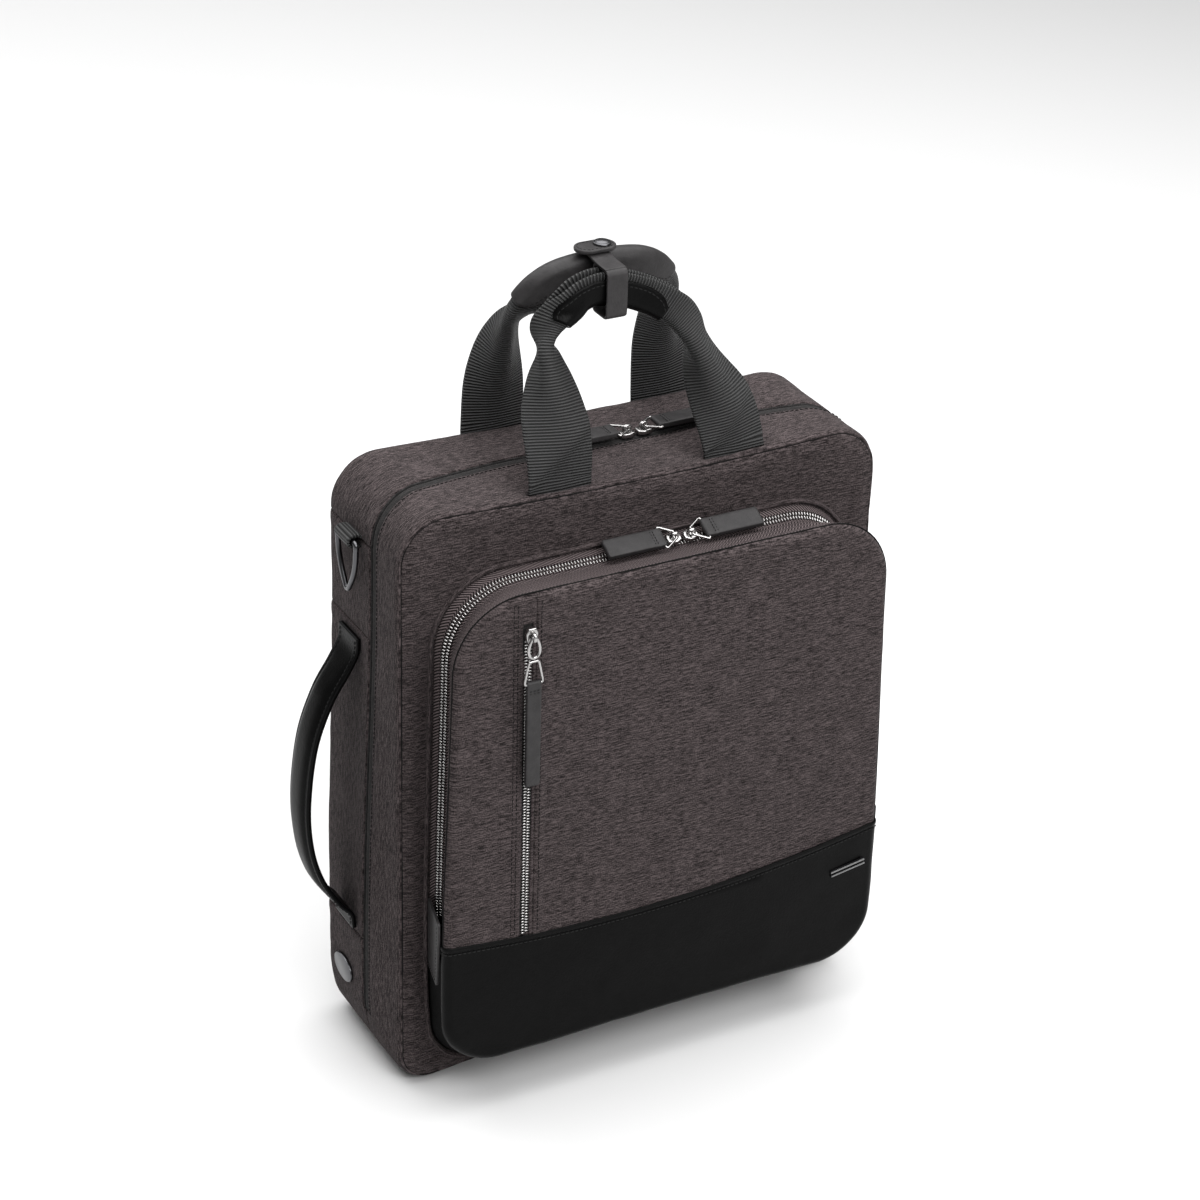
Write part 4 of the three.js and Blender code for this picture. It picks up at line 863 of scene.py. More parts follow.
# Herringbone tape and piping of the pocket
tape_rows = np.array([ring_slice(pocket_row(reach)) for reach in (*wall_reaches, 37.0)])
tape_along = lengths(tape_rows).mean(0)
tape_across = lengths(tape_rows.swapaxes(0, 1)).mean(0)
tape_uv = np.stack(np.broadcast_arrays(tape_along[None], tape_across[:, None]), -1) / 1000
tape_band = grid_object("herringbone_band", tape_rows, tape, uv=tape_uv)
stands_for(tape_band, "zip_tape", "pocket_zip_tape")


def piping_row(grow, height):
    flat = ring(pocket_section(), POCKET_STOPS, -grow)
    points = soften_pocket(flat[:, 0], FRONT_Y, flat[:, 1])
    points[:, 1] = FRONT_Y - height
    return points[BOTTOM + 2:len(points) - BOTTOM - 1]


piping_points = np.array([
    piping_row(2.3 - 1.35 * math.cos(turn), -0.3 + 2.25 * math.sin(turn))
    for turn in np.linspace(0, math.pi, 11)
])
piping_uv = default_uvs(piping_points.swapaxes(0, 1), False).swapaxes(0, 1)[..., ::-1]
piping = grid_object("pocket_piping", piping_points, piping_cloth, uv=piping_uv)
stands_for(piping, "body_cloth", "pocket_welt")

# Metal teeth: bars that reach just past the middle from either side in turn
TOOTH_PITCH = 0.98


def tooth_template(length, reach, height):
    a = length / 2
    inner, outer = -0.05, reach
    points = []
    for z, cut in ((-0.3, 0.0), (height * 0.62, 0.0), (height, 0.28)):
        points += [(-a + cut * 0.6, inner + cut, z), (a - cut * 0.6, inner + cut, z),
                   (a - cut * 0.6, outer - cut, z), (-a + cut * 0.6, outer - cut, z)]
    faces = []
    for level in (0, 4):
        faces += [[level + k, level + (k + 1) % 4, level + 4 + (k + 1) % 4, level + 4 + k] for k in range(4)]
    return points, faces + [[8, 9, 10, 11]]


def chain(name, path, outward, reach, height, node):
    centres, along, side, up = resample(path, outward, TOOTH_PITCH)
    swap = np.where(np.arange(len(centres)) % 2 == 0, 1.0, -1.0)[:, None]
    template, faces = tooth_template(TOOTH_PITCH * 0.78, reach, height)
    made = copies(name, template, faces, centres, along * swap, side * swap, up, nickel)
    return stands_for(made, "nickel", node)


chain_path = ring_slice(pocket_row(7.75))
chain_near = ring_slice(pocket_row(5.0))
chain_far = ring_slice(pocket_row(10.0))
chain_along = np.gradient(chain_path, axis=0)
chain_out = unit(np.cross(chain_along, chain_far - chain_near))
chain_out *= np.sign(np.sum(chain_out * (chain_path - np.array([0, 40, 170]))))
chain("pocket_chain", chain_path + chain_out * 0.1, chain_out, 2.85, 1.5, "pocket_zip_teeth")

# Black tube where the tape meets the rolled edge of the panel: painted shade under the edge
SEAM_TURN = 0.2
seam_radius = POCKET_ROLL + 0.15
seam_path = ring_slice(pocket_row(PANEL_REACH, POCKET_ROLL - seam_radius * math.cos(SEAM_TURN),
                                  POCKET_FACE + POCKET_ROLL - seam_radius * math.sin(SEAM_TURN)))
seam_line = tube(seam_path, 0.45, 8, normal=(0, 1, 0))
panel_shade_line = grid_object("panel_shade_line", seam_line, black_thread_and_shade_lines, wrap=True, caps=True)

# Slit zip on the panel


def flat_x(x, z):
    """The place on the flat panel that the swell carries to x."""
    place = np.array(x, float)
    for _ in range(4):
        place = x - (place - POCKET_CENTRE) / POCKET_HALF * 5.5 * pocket_swell(z)
    return place


def on_face(x, z, height):
    """A point standing off the pocket's face."""
    stand_off = np.array([0, -1, 0]) * np.asarray(height)[..., None]
    return soften_pocket(flat_x(x, z), POCKET_FACE, z) + stand_off


def face_strip(name, profile, bottom, top, made, count=150):
    z = np.linspace(bottom, top, count)
    rows = []
    for x, height in profile:
        wave = 0.22 * noise(np.stack([z * 0, z, z * 0 + x * 0.2], -1), 24, 4)
        rows.append(on_face(SLIT_X + x + wave, z, np.full(count, height)))
    points = np.array(rows)
    uv = np.stack([points[..., 0], points[..., 2]], -1) / 1000
    return grid_object(name, points, made, uv=uv)


def slit_line(offset, height, bottom, top, count):
    """A line up the panel beside the slit, and the way that it faces."""
    z = np.linspace(bottom, top, count)
    path = on_face(np.full(count, SLIT_X + offset), z, np.full(count, height))
    return path, np.tile(np.array([0, -1.0, 0]), (count, 1))


# Across the slit: offset in X from its middle and height over the panel
SLIT_TAPE = ((-6.6, -0.9), (-4, -0.75), (-1, -0.7), (1, -0.7), (4, -0.75), (6.6, -0.9))
LEFT_FOLD = (
    (-13, -0.4), (-11.5, 0.0), (-9.5, 0.2), (-8.7, 0.1), (-8.0, 0.22), (-5.5, 0.42), (-4.0, 0.45),
    (-3.35, 0.25), (-3.15, -0.15), (-3.3, -0.9),
)
RIGHT_FOLD = (
    (3.1, -0.9), (2.9, -0.1), (3.1, 0.25), (3.8, 0.42), (4.4, 0.35), (4.8, 0.1), (5.05, -0.7), (5.3, 0.1),
    (5.7, 0.65), (6.6, 0.8), (8.5, 0.75), (11, 0.3), (14, -0.4),
)
SLIT_BRIDGE = ((-3.6, 0.35), (-1, 0.38), (1, 0.4), (3.8, 0.4))
SLIT_STITCHES = ((-8.8, 0.12), (-6.4, 0.36), (7.9, 0.85))
FOLD_BOTTOM, FOLD_TOP = 119, 341
slit_tape = face_strip("slit_tape", SLIT_TAPE, 121, 327, plain_tape)
stands_for(slit_tape, "zip_tape", "slit_zip_tape")
face_strip("slit_left_fold", LEFT_FOLD, FOLD_BOTTOM, FOLD_TOP, cloth)
face_strip("slit_right_fold", RIGHT_FOLD, FOLD_BOTTOM, FOLD_TOP, cloth)
face_strip("slit_top", SLIT_BRIDGE, 326.8, FOLD_TOP, cloth, 12)
slit_runs = [slit_line(offset, height, 122, 340, 120) for offset, height in SLIT_STITCHES]
stitches("slit_stitches", slit_runs, black_thread_and_shade_lines, pitch=3.0, radius=0.26)
slit_chain_path, slit_facing = slit_line(0, -0.55, 122, 317, 160)
chain("slit_chain", slit_chain_path, slit_facing, 2.3, 1.2, "slit_zip_teeth")

# Zip pulls
RING_WIRE = 0.75
SLIDER = {"length": 9, "width": 7.4, "height": 3.2, "bail_width": 2.4, "bail_height": 4.2}
BAIL_CENTRE = SLIDER["height"] + SLIDER["bail_height"] / 2


def place(local, origin, along, outward):
    """Local points (along, side, outward) into the body's frame."""
    side = np.cross(outward, along)
    local = np.asarray(local, float)
    return (
        np.asarray(origin)
        + local[..., :1] * np.asarray(along, float)
        + local[..., 1:2] * side
        + local[..., 2:] * np.asarray(outward, float)
    )


def add_slider(name, node, origin, along, outward):
    half, width = SLIDER["length"] / 2, SLIDER["width"] / 2
    lower = [
        (-half, -width * 0.62), (-half * 0.75, -width * 0.75), (-half * 0.3, -width),
        (half * 0.5, -width * 0.9), (half, -width * 0.72),
    ]
    outline = lower + [(x, -y) for x, y in lower[::-1]]
    side = np.cross(outward, along)
    body = bevelled(name, outline, SLIDER["height"], 0.75, origin, along, side, outward, nickel, segments=3)
    arch = [(-2.5, 0, 2.4), (-2.45, 0, 4.2), (-2.0, 0, 6.2), (-0.8, 0, 7.0), (0.8, 0, 7.0), (2.0, 0, 6.2),
            (2.45, 0, 4.2), (2.5, 0, 2.4)]
    path = place(rounded_path(arch, 30), origin, along, outward)
    wire = tube(path, 0.62, 10, normal=side, flatten=1.8)
    bail = grid_object(name + "_bail", wire, nickel, wrap=True, caps=True)
    return stands_for(body, "nickel", node)


def add_wire(name, node, path, radius, slot_name, made, normal, sides=12, body="bag"):
    points = tube(path, radius, sides, closed=True, normal=normal)
    return stands_for(grid_object(name, points, made, wrap=True, body=body), slot_name, node)


def ring_shape(length, near, far):
    c = 1.6 * RING_WIRE
    lower = [
        (0, -near, 0), (c, -near - c * 0.8, 0), (length * 0.5, -(near + far) / 2 - 0.6, 0),
        (length - c, -far, 0), (length, -far + c, 0),
    ]
    upper = [(x, -y, z) for x, y, z in lower[::-1]]
    return rounded_path([*lower, (length, 0, 0), *upper], 72, closed=True)


def add_tab(name, node, origin, along, outward, length, width, thickness, rows_of_stitches, made):
    """A leather strip folded round the wire and sewn to itself."""
    r = thickness / 2
    round_end = -r * np.cos(np.linspace(0.12, np.pi / 2, 8))
    stations = np.concatenate([round_end, np.linspace(0, length - r, 46)[1:]])
    section = rounded_section(1, 1, 36, groove=0.035)
    rows = []
    for u in stations:
        end = length - r - u
        height = 2 * math.sqrt(max(r * r - min(u, 0) ** 2, 0.02))
        height *= 1 - 0.16 * float(bump(u, rows_of_stitches[0], 1.6)) * (u > 0)
        breadth = width * (1 - 0.05 * float(bump(u, -r, 1.2)))
        if end < 1.1:
            turn = math.sqrt(max(0.0, 1 - (1 - end / 1.1) ** 2))
            height *= 0.62 + 0.38 * turn
            breadth -= 1.4 * (1 - turn)
        crown = 1 + 0.06 * math.sin(math.pi * np.clip(u / length, 0, 1))
        lift = section[:, 1] * height * crown
        rows.append(np.stack([np.full(len(section), u), section[:, 0] * breadth, lift], -1))
    points = place(np.array(rows), origin, along, outward)
    tab = grid_object(name, points, made, wrap=True, caps=True)
    runs = []
    for u in rows_of_stitches:
        across = np.linspace(-width * 0.4, width * 0.4, 12)
        local = np.stack([np.full(12, u), across, np.full(12, r * 0.93)], -1)
        runs.append((place(local, origin, along, outward), np.tile(np.asarray(outward, float), (12, 1))))
    stitches(name + "_stitches", runs, thread, pitch=2.0, radius=0.26)
    return stands_for(tab, "leather", node)


def add_pull(prefix, suffix, origin, along, outward, ring_length, tab, ring_start, stitch_rows):
    along, outward = np.asarray(along, float), np.asarray(outward, float)
    node = "_zip_{}" + suffix
    add_slider(f"{prefix}_slider{suffix}_body", prefix + node.format("slider"), origin, along, outward)
    start = np.asarray(origin) + outward * BAIL_CENTRE + along * ring_start
    near = SLIDER["bail_width"] / 2 + 0.3 + RING_WIRE
    far = tab[1] / 2 + 0.3 + RING_WIRE
    path = place(ring_shape(ring_length, near, far), start, along, outward)
    ring_node = prefix + node.format("ring")
    add_wire(f"{prefix}_ring{suffix}_wire", ring_node, path, RING_WIRE, "nickel", nickel, outward)
    tab_origin = start + along * ring_length
    add_tab(f"{prefix}_tab{suffix}_leather", prefix + node.format("tab"), tab_origin, along, outward,
            *tab, stitch_rows, grey_leather)


PAIR_TAB = (38, 12.5, 3.6)
chain_tilt = math.atan2(5.2, 10.6)
pocket_outward = np.array([0, -math.sin(chain_tilt), math.cos(chain_tilt)])
for suffix, sign in (("_left", -1), ("_right", 1)):
    x = 19 + sign * 5.5
    pocket_origin = np.array([x, -56.555, 336.69]) + pocket_outward * 2.5
    add_pull("pocket", suffix, pocket_origin, (sign, 0, 0), pocket_outward, 9, PAIR_TAB, 0, (4.2, 5.9))
    add_pull("main", suffix, np.array([x, 0.0, 379.7]), (sign, 0, 0), (0, 0, 1), 9, PAIR_TAB, 0, (4.2, 5.9))

slit_origin = np.array([SLIT_X, -92.4, 321.5])
add_pull("slit", "", slit_origin, (0, 0, -1), (0, -1, 0), 14, (68, 8.8, 3.4), 15.0, (4.0, 5.6))
turns = np.linspace(0, 2 * np.pi, 48, endpoint=False)
link_half = 4.3 - 0.95
link = np.stack([
    6.5 - 0.32 - 6.5 * np.cos(turns),
    link_half * np.sin(turns) * (1 - 0.28 * np.cos(turns)),
    np.zeros(48),
], -1)
link_path = place(link, slit_origin + np.array([0, -BAIL_CENTRE, 0]), (0, 0, -1), (0, -1, 0))
add_wire("slit_link_wire", "slit_zip_link", link_path, 0.95, "nickel", nickel, (0, -1, 0))

# Corner flaps, plate and badge


def add_flap(name, node, sign):
    near_reach, far_reach = 2.8, PANEL_REACH
    near_x = POCKET_HALF + pocket_growth(near_reach)[0]
    far_x = POCKET_HALF + pocket_growth(far_reach)[0]
    near = soften_pocket(POCKET_CENTRE + sign * near_x, FRONT_Y - near_reach, 110.0)
    far = soften_pocket(POCKET_CENTRE + sign * far_x, FRONT_Y - far_reach, 110.0)
    near[2] = far[2] = 0
    along = unit(far - near)
    length = float(np.linalg.norm(far - near))
    upward = np.array([0, 0, 1.0])
    outward = unit(np.cross(along, upward))
    outward = outward * np.sign(outward[0]) * sign
    outline = [
        (0, 87), (length - 8.5, 91), (length - 6.5, 91.8), (length - 5, 93.6), (length, 128),
        (length, 137.5), (length - 1, 138.6), (0, 134),
    ]
    origin = near + outward * 0.9
    flap = bevelled(name, outline, 1.8, 0.5, origin, along, upward, outward, grey_leather)
    lower = np.linspace(0, 1, 20)[:, None]
    first = origin + along * 1.0 + upward * 90 + outward * 1.82
    second = origin + along * (length - 8) + upward * 94 + outward * 1.82
    third = origin + along * (length - 2.6) + upward * 129 + outward * 1.82
    fourth = origin + along * (length - 2.6) + upward * 135.5 + outward * 1.82
    path = np.concatenate([first + (second - first) * lower, second + (third - second) * lower,
                           third + (fourth - third) * lower])
    stitches(name + "_stitches", [(path, np.tile(outward, (60, 1)))], thread, pitch=2.8, radius=0.26)
    return stands_for(flap, "leather", node)


add_flap("corner_flap_left", "corner_tab_left", -1)
add_flap("corner_flap_right", "corner_tab_right", 1)


def capsule(length, height, radius, count=8):
    x, y = length / 2 - radius, height / 2 - radius
    points = []
    for cx, cy, start in ((x, y, 0), (-x, y, 90), (-x, -y, 180), (x, -y, 270)):
        for angle in np.radians(start + np.linspace(0, 90, count)):
            points.append((cx + radius * math.cos(angle), cy + radius * math.sin(angle)))
    return points


PLATE_PLACE = (127, -91.5, 104)
tilt = math.radians(9)
plate_along = np.array([math.cos(tilt), 0, math.sin(tilt)])
plate_up = np.array([-math.sin(tilt), 0, math.cos(tilt)])
plate = bevelled("metal_plate", capsule(24, 5.2, 0.8), 0.6, 0.2, PLATE_PLACE, plate_along, plate_up,
                 (0, -1, 0), dark_metal)
stands_for(plate, "nickel", "front_plate")
for label, lift in (("upper", 1.35), ("lower", -1.35)):
    bar_place = np.array([PLATE_PLACE[0], -92.0, PLATE_PLACE[2]]) + plate_up * lift
    bar = bevelled(f"plate_bar_{label}", capsule(24, 1.2, 0.4), 0.9, 0.3, bar_place, plate_along, plate_up,
                   (0, -1, 0), plate_metal)
oval = [(12.5 * math.cos(a), 8.25 * math.sin(a)) for a in np.linspace(0, 2 * math.pi, 48, endpoint=False)]
badge = bevelled("oval_badge", oval, 2.2, 0.6, (-159.7, 19.5, 48), (0, 1, 0), (0, 0, 1), (-1, 0, 0),
                 gunmetal)
stands_for(badge, "gunmetal", "side_badge")

# Top handles: each list runs up a leg from its foot to the middle of the grip
ARCH_RISE = [0.0, 0.24, 0.45, 0.62, 0.74, 0.84, 0.925, 0.98, 1.0]
ARCH_OUT = [0.0, 0.08, 0.24, 0.44, 0.62, 0.78, 0.91, 0.98, 1.0]
ARCH_FOLD = [4, 40, 110, 160, 174, 176, 176, 176, 176]
ARCH_TURN = [0, 2, 6, 26, 62, 90, 90, 90, 90]
ARCH_BEND = [60, 22, 8, 4, 3.3, 3.3, 3.3, 3.3, 3.3]
# The front left leg stays open for longer, then folds into a narrow neck
NECK_FOLD = [4, 16, 75, 132, 172, 176, 176, 176, 176]
NECK_TURN = [0, -6, -15, -24, -28, 28, 78, 90, 90]
NECK_BEND = [60, 40, 13, 5, 3.4, 3.3, 3.3, 3.3, 3.3]
LEGS = {
    "front": ([-53, -51.5, -51, -51, -50, -46, -38, -30, -19], [60, 56, 48, 41.5, 36, 27, 11.5, -5, -19]),
    "rear": ([-52, -50.5, -49, -48, -47, -45, -39, -27, -4], [60, 59, 57, 53, 47, 39, 30, 18, -4]),
}
ARCHES = {
    "front": {"rise": 107, "foot": (-44.35, 380.1), "grip_y": -17, "radial": -1},
    "rear": {"rise": 105.5, "foot": (43.2, 379.0), "grip_y": 6, "radial": 1},
}
ARCH_POINTS = 193
TIGHTEST_BEND = 3.3
FOLDED_HEIGHT = WEB_WIDTH / 2 + TIGHTEST_BEND * (1 - math.pi / 2) + WEB_THICKNESS


def arch_frames(side):
    arch = ARCHES[side]
    left, right = LEGS[side]
    columns = (ARCH_RISE, ARCH_OUT, ARCH_FOLD, ARCH_TURN, ARCH_BEND)
    neck = (ARCH_RISE, ARCH_OUT, NECK_FOLD, NECK_TURN, NECK_BEND)
    climb = np.array([*(neck if side == "front" else columns), left], float).T
    descent = np.array([*columns, right], float).T[::-1][1:]
    table = rounded_path(np.concatenate([climb, descent]), ARCH_POINTS)
    rise, out, fold, turn, bend, x = table.T
    foot_y, foot_z = arch["foot"]
    centres = np.stack([x, foot_y + (arch["grip_y"] - foot_y) * out, foot_z + rise * arch["rise"]], -1)
    frames = []
    for i, centre in enumerate(centres):
        reach = 6
        along = unit(centres[min(len(centres) - 1, i + reach)] - centres[max(0, i - reach)])
        if i < 3 or i > len(centres) - 4:
            along = np.array([0, 0, 1.0 if i < 3 else -1.0])
        outwards = unit(np.array([-along[2], 0, along[0]]))
        angle = math.radians(turn[i])
        facing = np.array([0, -math.cos(angle), 0]) + outwards * arch["radial"] * math.sin(angle)
        facing = unit(facing - along * facing.dot(along))
        across = np.cross(along, facing)
        middle = centre + outwards * arch["radial"] * FOLDED_HEIGHT / 2 * math.sin(angle)
        frames.append({
            "rise": rise[i], "fold": max(fold[i], 1), "bend": max(bend[i], TIGHTEST_BEND),
            "middle": middle, "facing": facing, "across": across,
        })
    return frames


def fold_point(frame, distance, offset):
    """A point of the folded webbing at a distance from its middle line."""
    half_fold = math.radians(frame["fold"]) / 2
    arc = min(frame["bend"] * half_fold, WEB_WIDTH / 2 * 0.98)
    radius = arc / half_fold
    reach = min(abs(distance), arc)
    angle = reach / radius
    run = abs(distance) - reach
    side = (radius + offset) * math.sin(angle) + run * math.cos(angle)
    back = radius - (radius + offset) * math.cos(angle) + run * math.sin(angle)
    return frame["middle"] + frame["across"] * math.copysign(side, distance) - frame["facing"] * back


def folded_strip(frames, half_widths, low, high, columns=17):
    """A closed section round the strip at every frame."""
    rows = []
    for frame, half in zip(frames, half_widths):
        shares = np.linspace(-1, 1, columns)
        outer = [fold_point(frame, half * share, high) for share in shares]
        inner = [fold_point(frame, half * share, low) for share in shares[::-1]]
        middle = (low + high) / 2
        edge = (high - low) * 0.42
        right = fold_point(frame, half + edge, middle)
        left = fold_point(frame, -half - edge, middle)
        rows.append([*outer, right, *inner, left])
    return np.array(rows)


def crease(points, frames):
    """A ridge that runs slantwise up each front leg from its foot."""
    along = lengths(points.swapaxes(0, 1)).mean(0)
    normals = np.array([frame["facing"] for frame in frames])
    moved = np.zeros(points.shape)
    middle = ARCH_POINTS // 2
    for start, end, sign in ((0, middle, 1), (middle, ARCH_POINTS, -1)):
        reach = along[start:end] if sign > 0 else along[-1] - along[start:end]
        across = np.linspace(-20, 20, 25)
        columns = np.concatenate([across, [20], across[::-1], [-20]])
        line = 7 + (columns * sign + 20) * 0.8
        away = reach[:, None] - line
        ridge = np.where(away > 0, bump(away, 0, 15), bump(away, 0, 5))
        ridge = ridge * (1 - smooth(reach, 30, 60))[:, None]
        height = 2.6 * ridge * smooth(reach, 0, 6)[:, None]
        moved[start:end] = normals[start:end, None] * height[..., None]
    return moved


handle_points = {}
half_web = WEB_THICKNESS / 2
for label in ("front", "rear"):
    frames = arch_frames(label)
    points = folded_strip(frames, [WEB_WIDTH / 2 - 0.6] * len(frames), -half_web, half_web, 25)
    points[0, :, 2] -= 1.6
    points[-1, :, 2] -= 1.6
    if label == "front":
        points = points + crease(points, frames)
    handle_points[label] = points
    handle = grid_object(f"webbing_{label}", points, webbing, wrap=True, caps=True)
    stands_for(handle, "webbing", f"handle_{label}")

    gripped = [frame for frame in frames if frame["rise"] > 0.85]
    shares = np.abs(np.linspace(-1, 1, len(gripped)))
    widths = [frame["bend"] * math.pi / 2 + 10.5 * math.sqrt(max(0.12, 1 - share**6))
              for frame, share in zip(gripped, shares)]
    inside = half_web + 0.25
    wrap_points = folded_strip(gripped, widths, inside, inside + 1.5, 21)
    handle_points[label + "_wrap"] = wrap_points
    # The front grip's wrap takes the black leather, darker than the rear grip's grey: painted shade, as it
    # lies in shadow under the front handle.
    wrap_leather = black_leather_and_grip_shade if label == "front" else grey_leather
    wrap = grid_object(f"leather_grip_{label}", wrap_points, wrap_leather, wrap=True, caps=True)
    stands_for(wrap, "leather", f"grip_{label}")
    runs = []
    for sign in (-1, 1):
        path = np.array([fold_point(f, sign * (w - 2.2), inside + 1.5) for f, w in zip(gripped, widths)])
        raised = np.array([fold_point(f, sign * (w - 2.2), inside + 3.5) for f, w in zip(gripped, widths)])
        runs.append((path, unit(raised - path)))
    stitches(f"grip_{label}_stitches", runs, thread, pitch=3.0, radius=0.28)

# Snap strap
SNAP_X, SNAP_WIDTH, SNAP_THICKNESS, SNAP_TURN = -10.0, 13.0, 1.8, 3.2


def span_at(label):
    """The box of one grip where the strap crosses it."""
    parts = (handle_points[label], handle_points[label + "_wrap"])
    points = np.concatenate([part.reshape(-1, 3) for part in parts])
    near = points[np.abs(points[:, 0] - SNAP_X) < 10.5]
    return near.min(0) - 0.3, near.max(0) + 0.3


def ribbon(name, path, width, thickness, made, across=(1.0, 0, 0), closed=False):
    """A strip along a path, with its width along one axis."""
    path = np.asarray(path, float)
    if closed:
        along = unit(np.roll(path, -1, 0) - np.roll(path, 1, 0))
    else:
        along = unit(np.gradient(path, axis=0))
    across = np.array(across)
    normal = unit(np.cross(across, along))
    section = rounded_section(width, thickness)
    points = path[:, None] + section[None, :, :1] * across + section[None, :, 1:] * normal[:, None]
    if closed:
        points = np.concatenate([points, points[:1]])
    return grid_object(name, points, made, wrap=True, caps=not closed)


def in_plane(x, pairs):
    return np.array([(x, y, z) for y, z in pairs], float)


def round_corners(corners, count):
    """A closed path through rounded corners, each a place in Y and Z and a radius."""
    places = np.array([corner[:2] for corner in corners], float)
    path = []
    for i, corner in enumerate(corners):
        here = places[i]
        start = here + unit(places[i - 1] - here) * corner[2]
        end = here + unit(places[(i + 1) % len(places)] - here) * corner[2]
        for t in np.linspace(0, 1, count):
            path.append((1 - t) ** 2 * start + 2 * t * (1 - t) * here + t**2 * end)
    return path


front_low, front_high = span_at("front")
rear_low, rear_high = span_at("rear")
half_snap = SNAP_THICKNESS / 2
low_y, low_z = front_low[1:] - half_snap
high_y, high_z = front_high[1:] + half_snap
band_corners = ((low_y, low_z), (high_y, low_z), (high_y, high_z), (low_y, high_z))
band = round_corners([(y, z, SNAP_TURN) for y, z in band_corners], 7)
strap = ribbon("snap_band", in_plane(SNAP_X, band), SNAP_WIDTH, SNAP_THICKNESS, grey_leather, closed=True)
stands_for(strap, "leather", "snap_strap")
tail_z = max(rear_high[2], front_high[2])
tail_y = rear_low[1] + (rear_high[1] - rear_low[1]) * 0.62
tail = rounded_path(in_plane(SNAP_X, [
    (front_low[1] + 1, front_high[2] + half_snap + 0.3),
    (front_high[1] - 2, front_high[2] + half_snap + 0.6),
    (rear_low[1], tail_z + half_snap), (tail_y, tail_z + half_snap),
]), 30)
ribbon("snap_tail", tail, SNAP_WIDTH, SNAP_THICKNESS, grey_leather)

snap_top = tail_z + SNAP_THICKNESS + 0.3
snap_middle = (SNAP_X, tail_y - 6.2, snap_top)
snap_tab = bevelled("snap_leather_tab", capsule(25, 15, 7.4, 12), 2.4, 0.7, snap_middle,
                    (1, 0, 0), (0, 1, 0), (0, 0, 1), grey_leather, segments=3)
stands_for(snap_tab, "leather", "snap_tab")
edge_run = np.array([(x, y, 0) for x, y in capsule(21.4, 11.4, 5.6, 12)])
edge_run = edge_run + np.array(snap_middle) + np.array([0, 0, 2.42])
edge_run = np.concatenate([edge_run, edge_run[:1]])
snap_facing = np.tile(np.array([0, 0, 1.0]), (len(edge_run), 1))
stitches("snap_tab_stitches", [(edge_run, snap_facing)], thread, 2.4, 0.24)
CAP_RADIUS = 5.2
# The cap's profile: distance from its axis and height, as shares of its radius
CAP_PROFILE = ((1.0, 0.0), (1.02, 0.1), (0.97, 0.2), (0.86, 0.27), (0.8, 0.25), (0.7, 0.32), (0.45, 0.41),
               (0.2, 0.45), (0.0, 0.46))
angles = np.linspace(0, 2 * np.pi, 40, endpoint=False)
cap_rings = []
for out, height in CAP_PROFILE:
    lift = np.full(len(angles), height * CAP_RADIUS)
    reach = out * CAP_RADIUS
    cap_rings.append(np.stack([reach * np.cos(angles), reach * np.sin(angles), lift], -1))
cap_points = np.array(cap_rings) + np.array([SNAP_X + 4.5, snap_middle[1], snap_top + 2.5])
cap = grid_object("snap_cap", cap_points, gunmetal, wrap=True, flip=True)
merge_points(cap)
stands_for(cap, "gunmetal", "snap_button")

# Side handle
SIDE_ALONG = [0, 0.05, 0.11, 0.2, 0.34, 0.53, 0.68, 0.8, 0.9, 0.95, 1.0]
SIDE_BOW = [0, 0.02, 0.22, 0.56, 0.87, 1.0, 0.93, 0.7, 0.33, 0.06, 0]
SIDE_PAD = [0, 0, 0.35, 1, 1, 1, 1, 1, 0.35, 0, 0]
# Across the handle: share of the width and of the padding on the outside
SIDE_DOME = (
    (-0.5, 0.0), (-0.485, 0.12), (-0.44, 0.14), (-0.4, 0.1), (-0.375, 0.25), (-0.33, 0.62), (-0.24, 0.9),
    (-0.12, 1.0), (0, 1.02), (0.12, 1.0), (0.24, 0.9), (0.33, 0.62), (0.375, 0.25), (0.4, 0.1), (0.44, 0.14),
    (0.485, 0.12), (0.5, 0.0),
)
SIDE_WIDTH = 25


def body_side(z):
    return BODY["half"] + BODY_SWELL * float(body_swell(z))


table = rounded_path(np.array([SIDE_ALONG, SIDE_BOW, SIDE_PAD]).T, 121)
side_top, side_bottom, side_y = 286.0, 89.0, 12.0
ends = -body_side(side_top) + (body_side(side_top) - body_side(side_bottom)) * table[:, 0]
side_centres = np.stack([
    ends - 2.1 - np.clip(table[:, 1], 0, None) * 30, np.full(121, side_y),
    side_top + (side_bottom - side_top) * table[:, 0],
], -1)
side_along = unit(np.gradient(side_centres, axis=0))
side_out = np.stack([side_along[:, 2], np.zeros(121), -side_along[:, 0]], -1)
side_rows = []
for centre, outward, pad in zip(side_centres, side_out, np.clip(table[:, 2], 0, 1)):
    over = [(share * SIDE_WIDTH, 1.2 + 2.7 * pad * height) for share, height in SIDE_DOME]
    under = [(share * (SIDE_WIDTH - 0.4), -1.4 - 0.5 * pad * height) for share, height in SIDE_DOME[::-1]]
    side_rows.append([centre + outward * lift + np.array([0, y, 0]) for y, lift in over + under])
side_points = np.array(side_rows)
side_handle = grid_object("side_grip", side_points, black_leather_and_grip_shade, wrap=True, caps=True)
stands_for(side_handle, "leather", "side_handle")
runs = []
for share in (-0.41, 0.41):
    path = side_centres + side_out * 1.5 + np.array([0, share * SIDE_WIDTH, 0])
    runs.append((path[2:-2], side_out[2:-2]))
stitches("side_grip_stitches", runs, thread, pitch=3.0, radius=0.28)

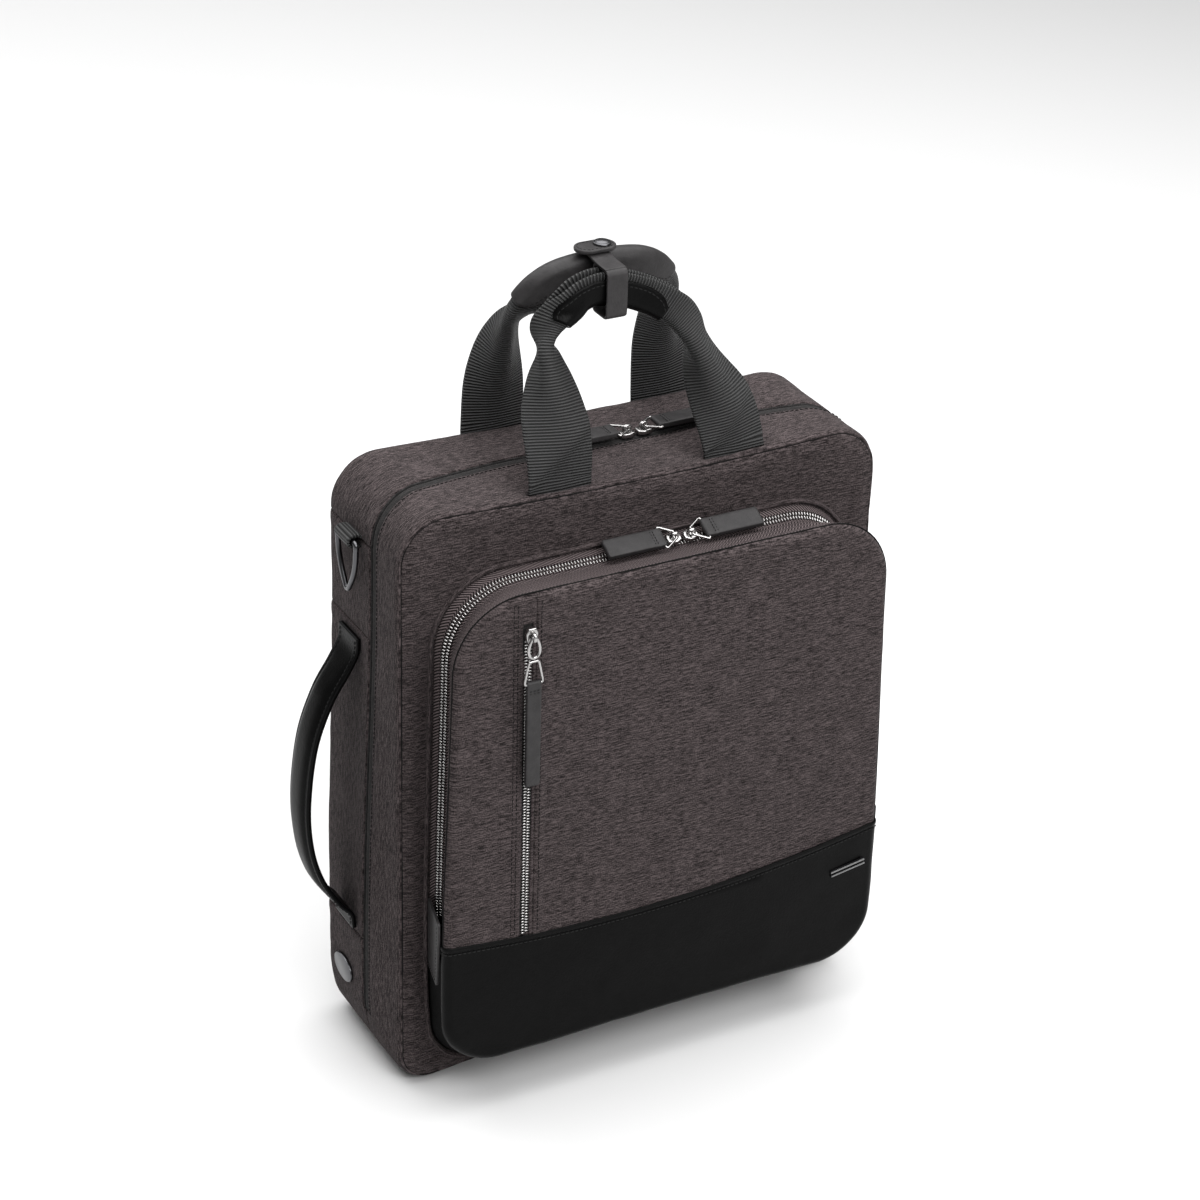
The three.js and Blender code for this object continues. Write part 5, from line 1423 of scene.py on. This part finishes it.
# Shoulder strap rings: wire round a bar, and a webbing loop round the bar
BAR_X, BAR_Y, BAR_Z = 160.4, 7.4, 350
LOOP_RADIUS = 3.1
RING_CORNERS = ((-13, 0, 3), (13, 0, 3), (11.18, -18, 9), (0, -36, 6), (-11.18, -18, 9))
for label, sign in (("left", -1), ("right", 1)):
    path = [(sign * BAR_X, BAR_Y + y, BAR_Z + z) for y, z in round_corners(RING_CORNERS, 10)]
    add_wire(f"d_ring_{label}_wire", f"d_ring_{label}", path, 1.6, "gunmetal", gunmetal, (1, 0, 0), 16,
             f"ring_{label}")
    turn = np.linspace(-0.5 * np.pi, 0.5 * np.pi, 14)
    around = [(BAR_X + LOOP_RADIUS * math.cos(a), BAR_Z + LOOP_RADIUS * math.sin(a)) for a in turn]
    strip = [(155.2, 346.2), (157.4, 346.4), *around, (157.0, 352.9), (155.2, 351.6)]
    strip = rounded_path([(sign * x, BAR_Y, z) for x, z in strip], 50)
    loop = ribbon(f"web_loop_{label}", strip, 18, 2, webbing, across=(0, 1.0, 0))
    stands_for(loop, "webbing", f"ring_loop_{label}")

# Stage, light and camera
bpy.ops.mesh.primitive_plane_add(size=12, location=(0, 0, 0))
floor = bpy.context.object
floor.name = "floor"
floor.data.materials.append(material("floor_white", grey(0.66), 0.95, specular=0.0))


def soft_light(name, location, target, size, power):
    data = bpy.data.lights.new(name, "AREA")
    data.shape = "RECTANGLE"
    data.size, data.size_y = size
    data.energy = power
    light = bpy.data.objects.new(name, data)
    light.location = location
    light.rotation_euler = (Vector(target) - Vector(location)).to_track_quat("-Z", "Y").to_euler()
    bpy.context.collection.objects.link(light)


soft_light("overhead", (0.15, 0.2, 2.2), (0, 0, 0.1), (3.0, 2.6), 108)
soft_light("front_right", (0.7, -2.0, 1.6), (0, 0, 0.2), (1.4, 1.4), 36)
soft_light("front_left", (-0.35, -1.5, 1.8), (-0.1, 0, 0.3), (1.0, 0.8), 16)
soft_light("backdrop", (-1.0, 3.4, 2.2), (-1.2, 3.6, 0), (3.5, 2.0), 70)
soft_light("left_edge", (-2.4, -0.3, 1.2), (0, 0, 0.2), (0.7, 1.2), 1)

bpy.context.scene.view_settings.view_transform = "Standard"
world = bpy.data.worlds.new("studio")
world.use_nodes = True
world.node_tree.nodes["Background"].inputs["Color"].default_value = (1, 1, 1, 1)
world.node_tree.nodes["Background"].inputs["Strength"].default_value = 0.16
bpy.context.scene.world = world

CAMERA_PLACE = (-0.784596, -1.427336, 1.1777)
CAMERA_ANGLES = (28.83, 28.6, 1.71)
azimuth, pitch, roll_angle = (math.radians(angle) for angle in CAMERA_ANGLES)
away = math.cos(pitch)
forward = Vector((math.sin(azimuth) * away, math.cos(azimuth) * away, -math.sin(pitch)))
level = Vector((math.cos(azimuth), -math.sin(azimuth), 0))
upright = level.cross(forward)
right = level * math.cos(roll_angle) + upright * math.sin(roll_angle)
above = upright * math.cos(roll_angle) - level * math.sin(roll_angle)
camera_data = bpy.data.cameras.new("camera")
camera_data.lens = 95.46
camera_data.sensor_width = 36
camera = bpy.data.objects.new("camera", camera_data)
turned = Matrix((right, above, -forward)).transposed().to_4x4()
turned.translation = Vector(CAMERA_PLACE)
camera.matrix_world = turned
bpy.context.collection.objects.link(camera)
bpy.context.scene.camera = camera
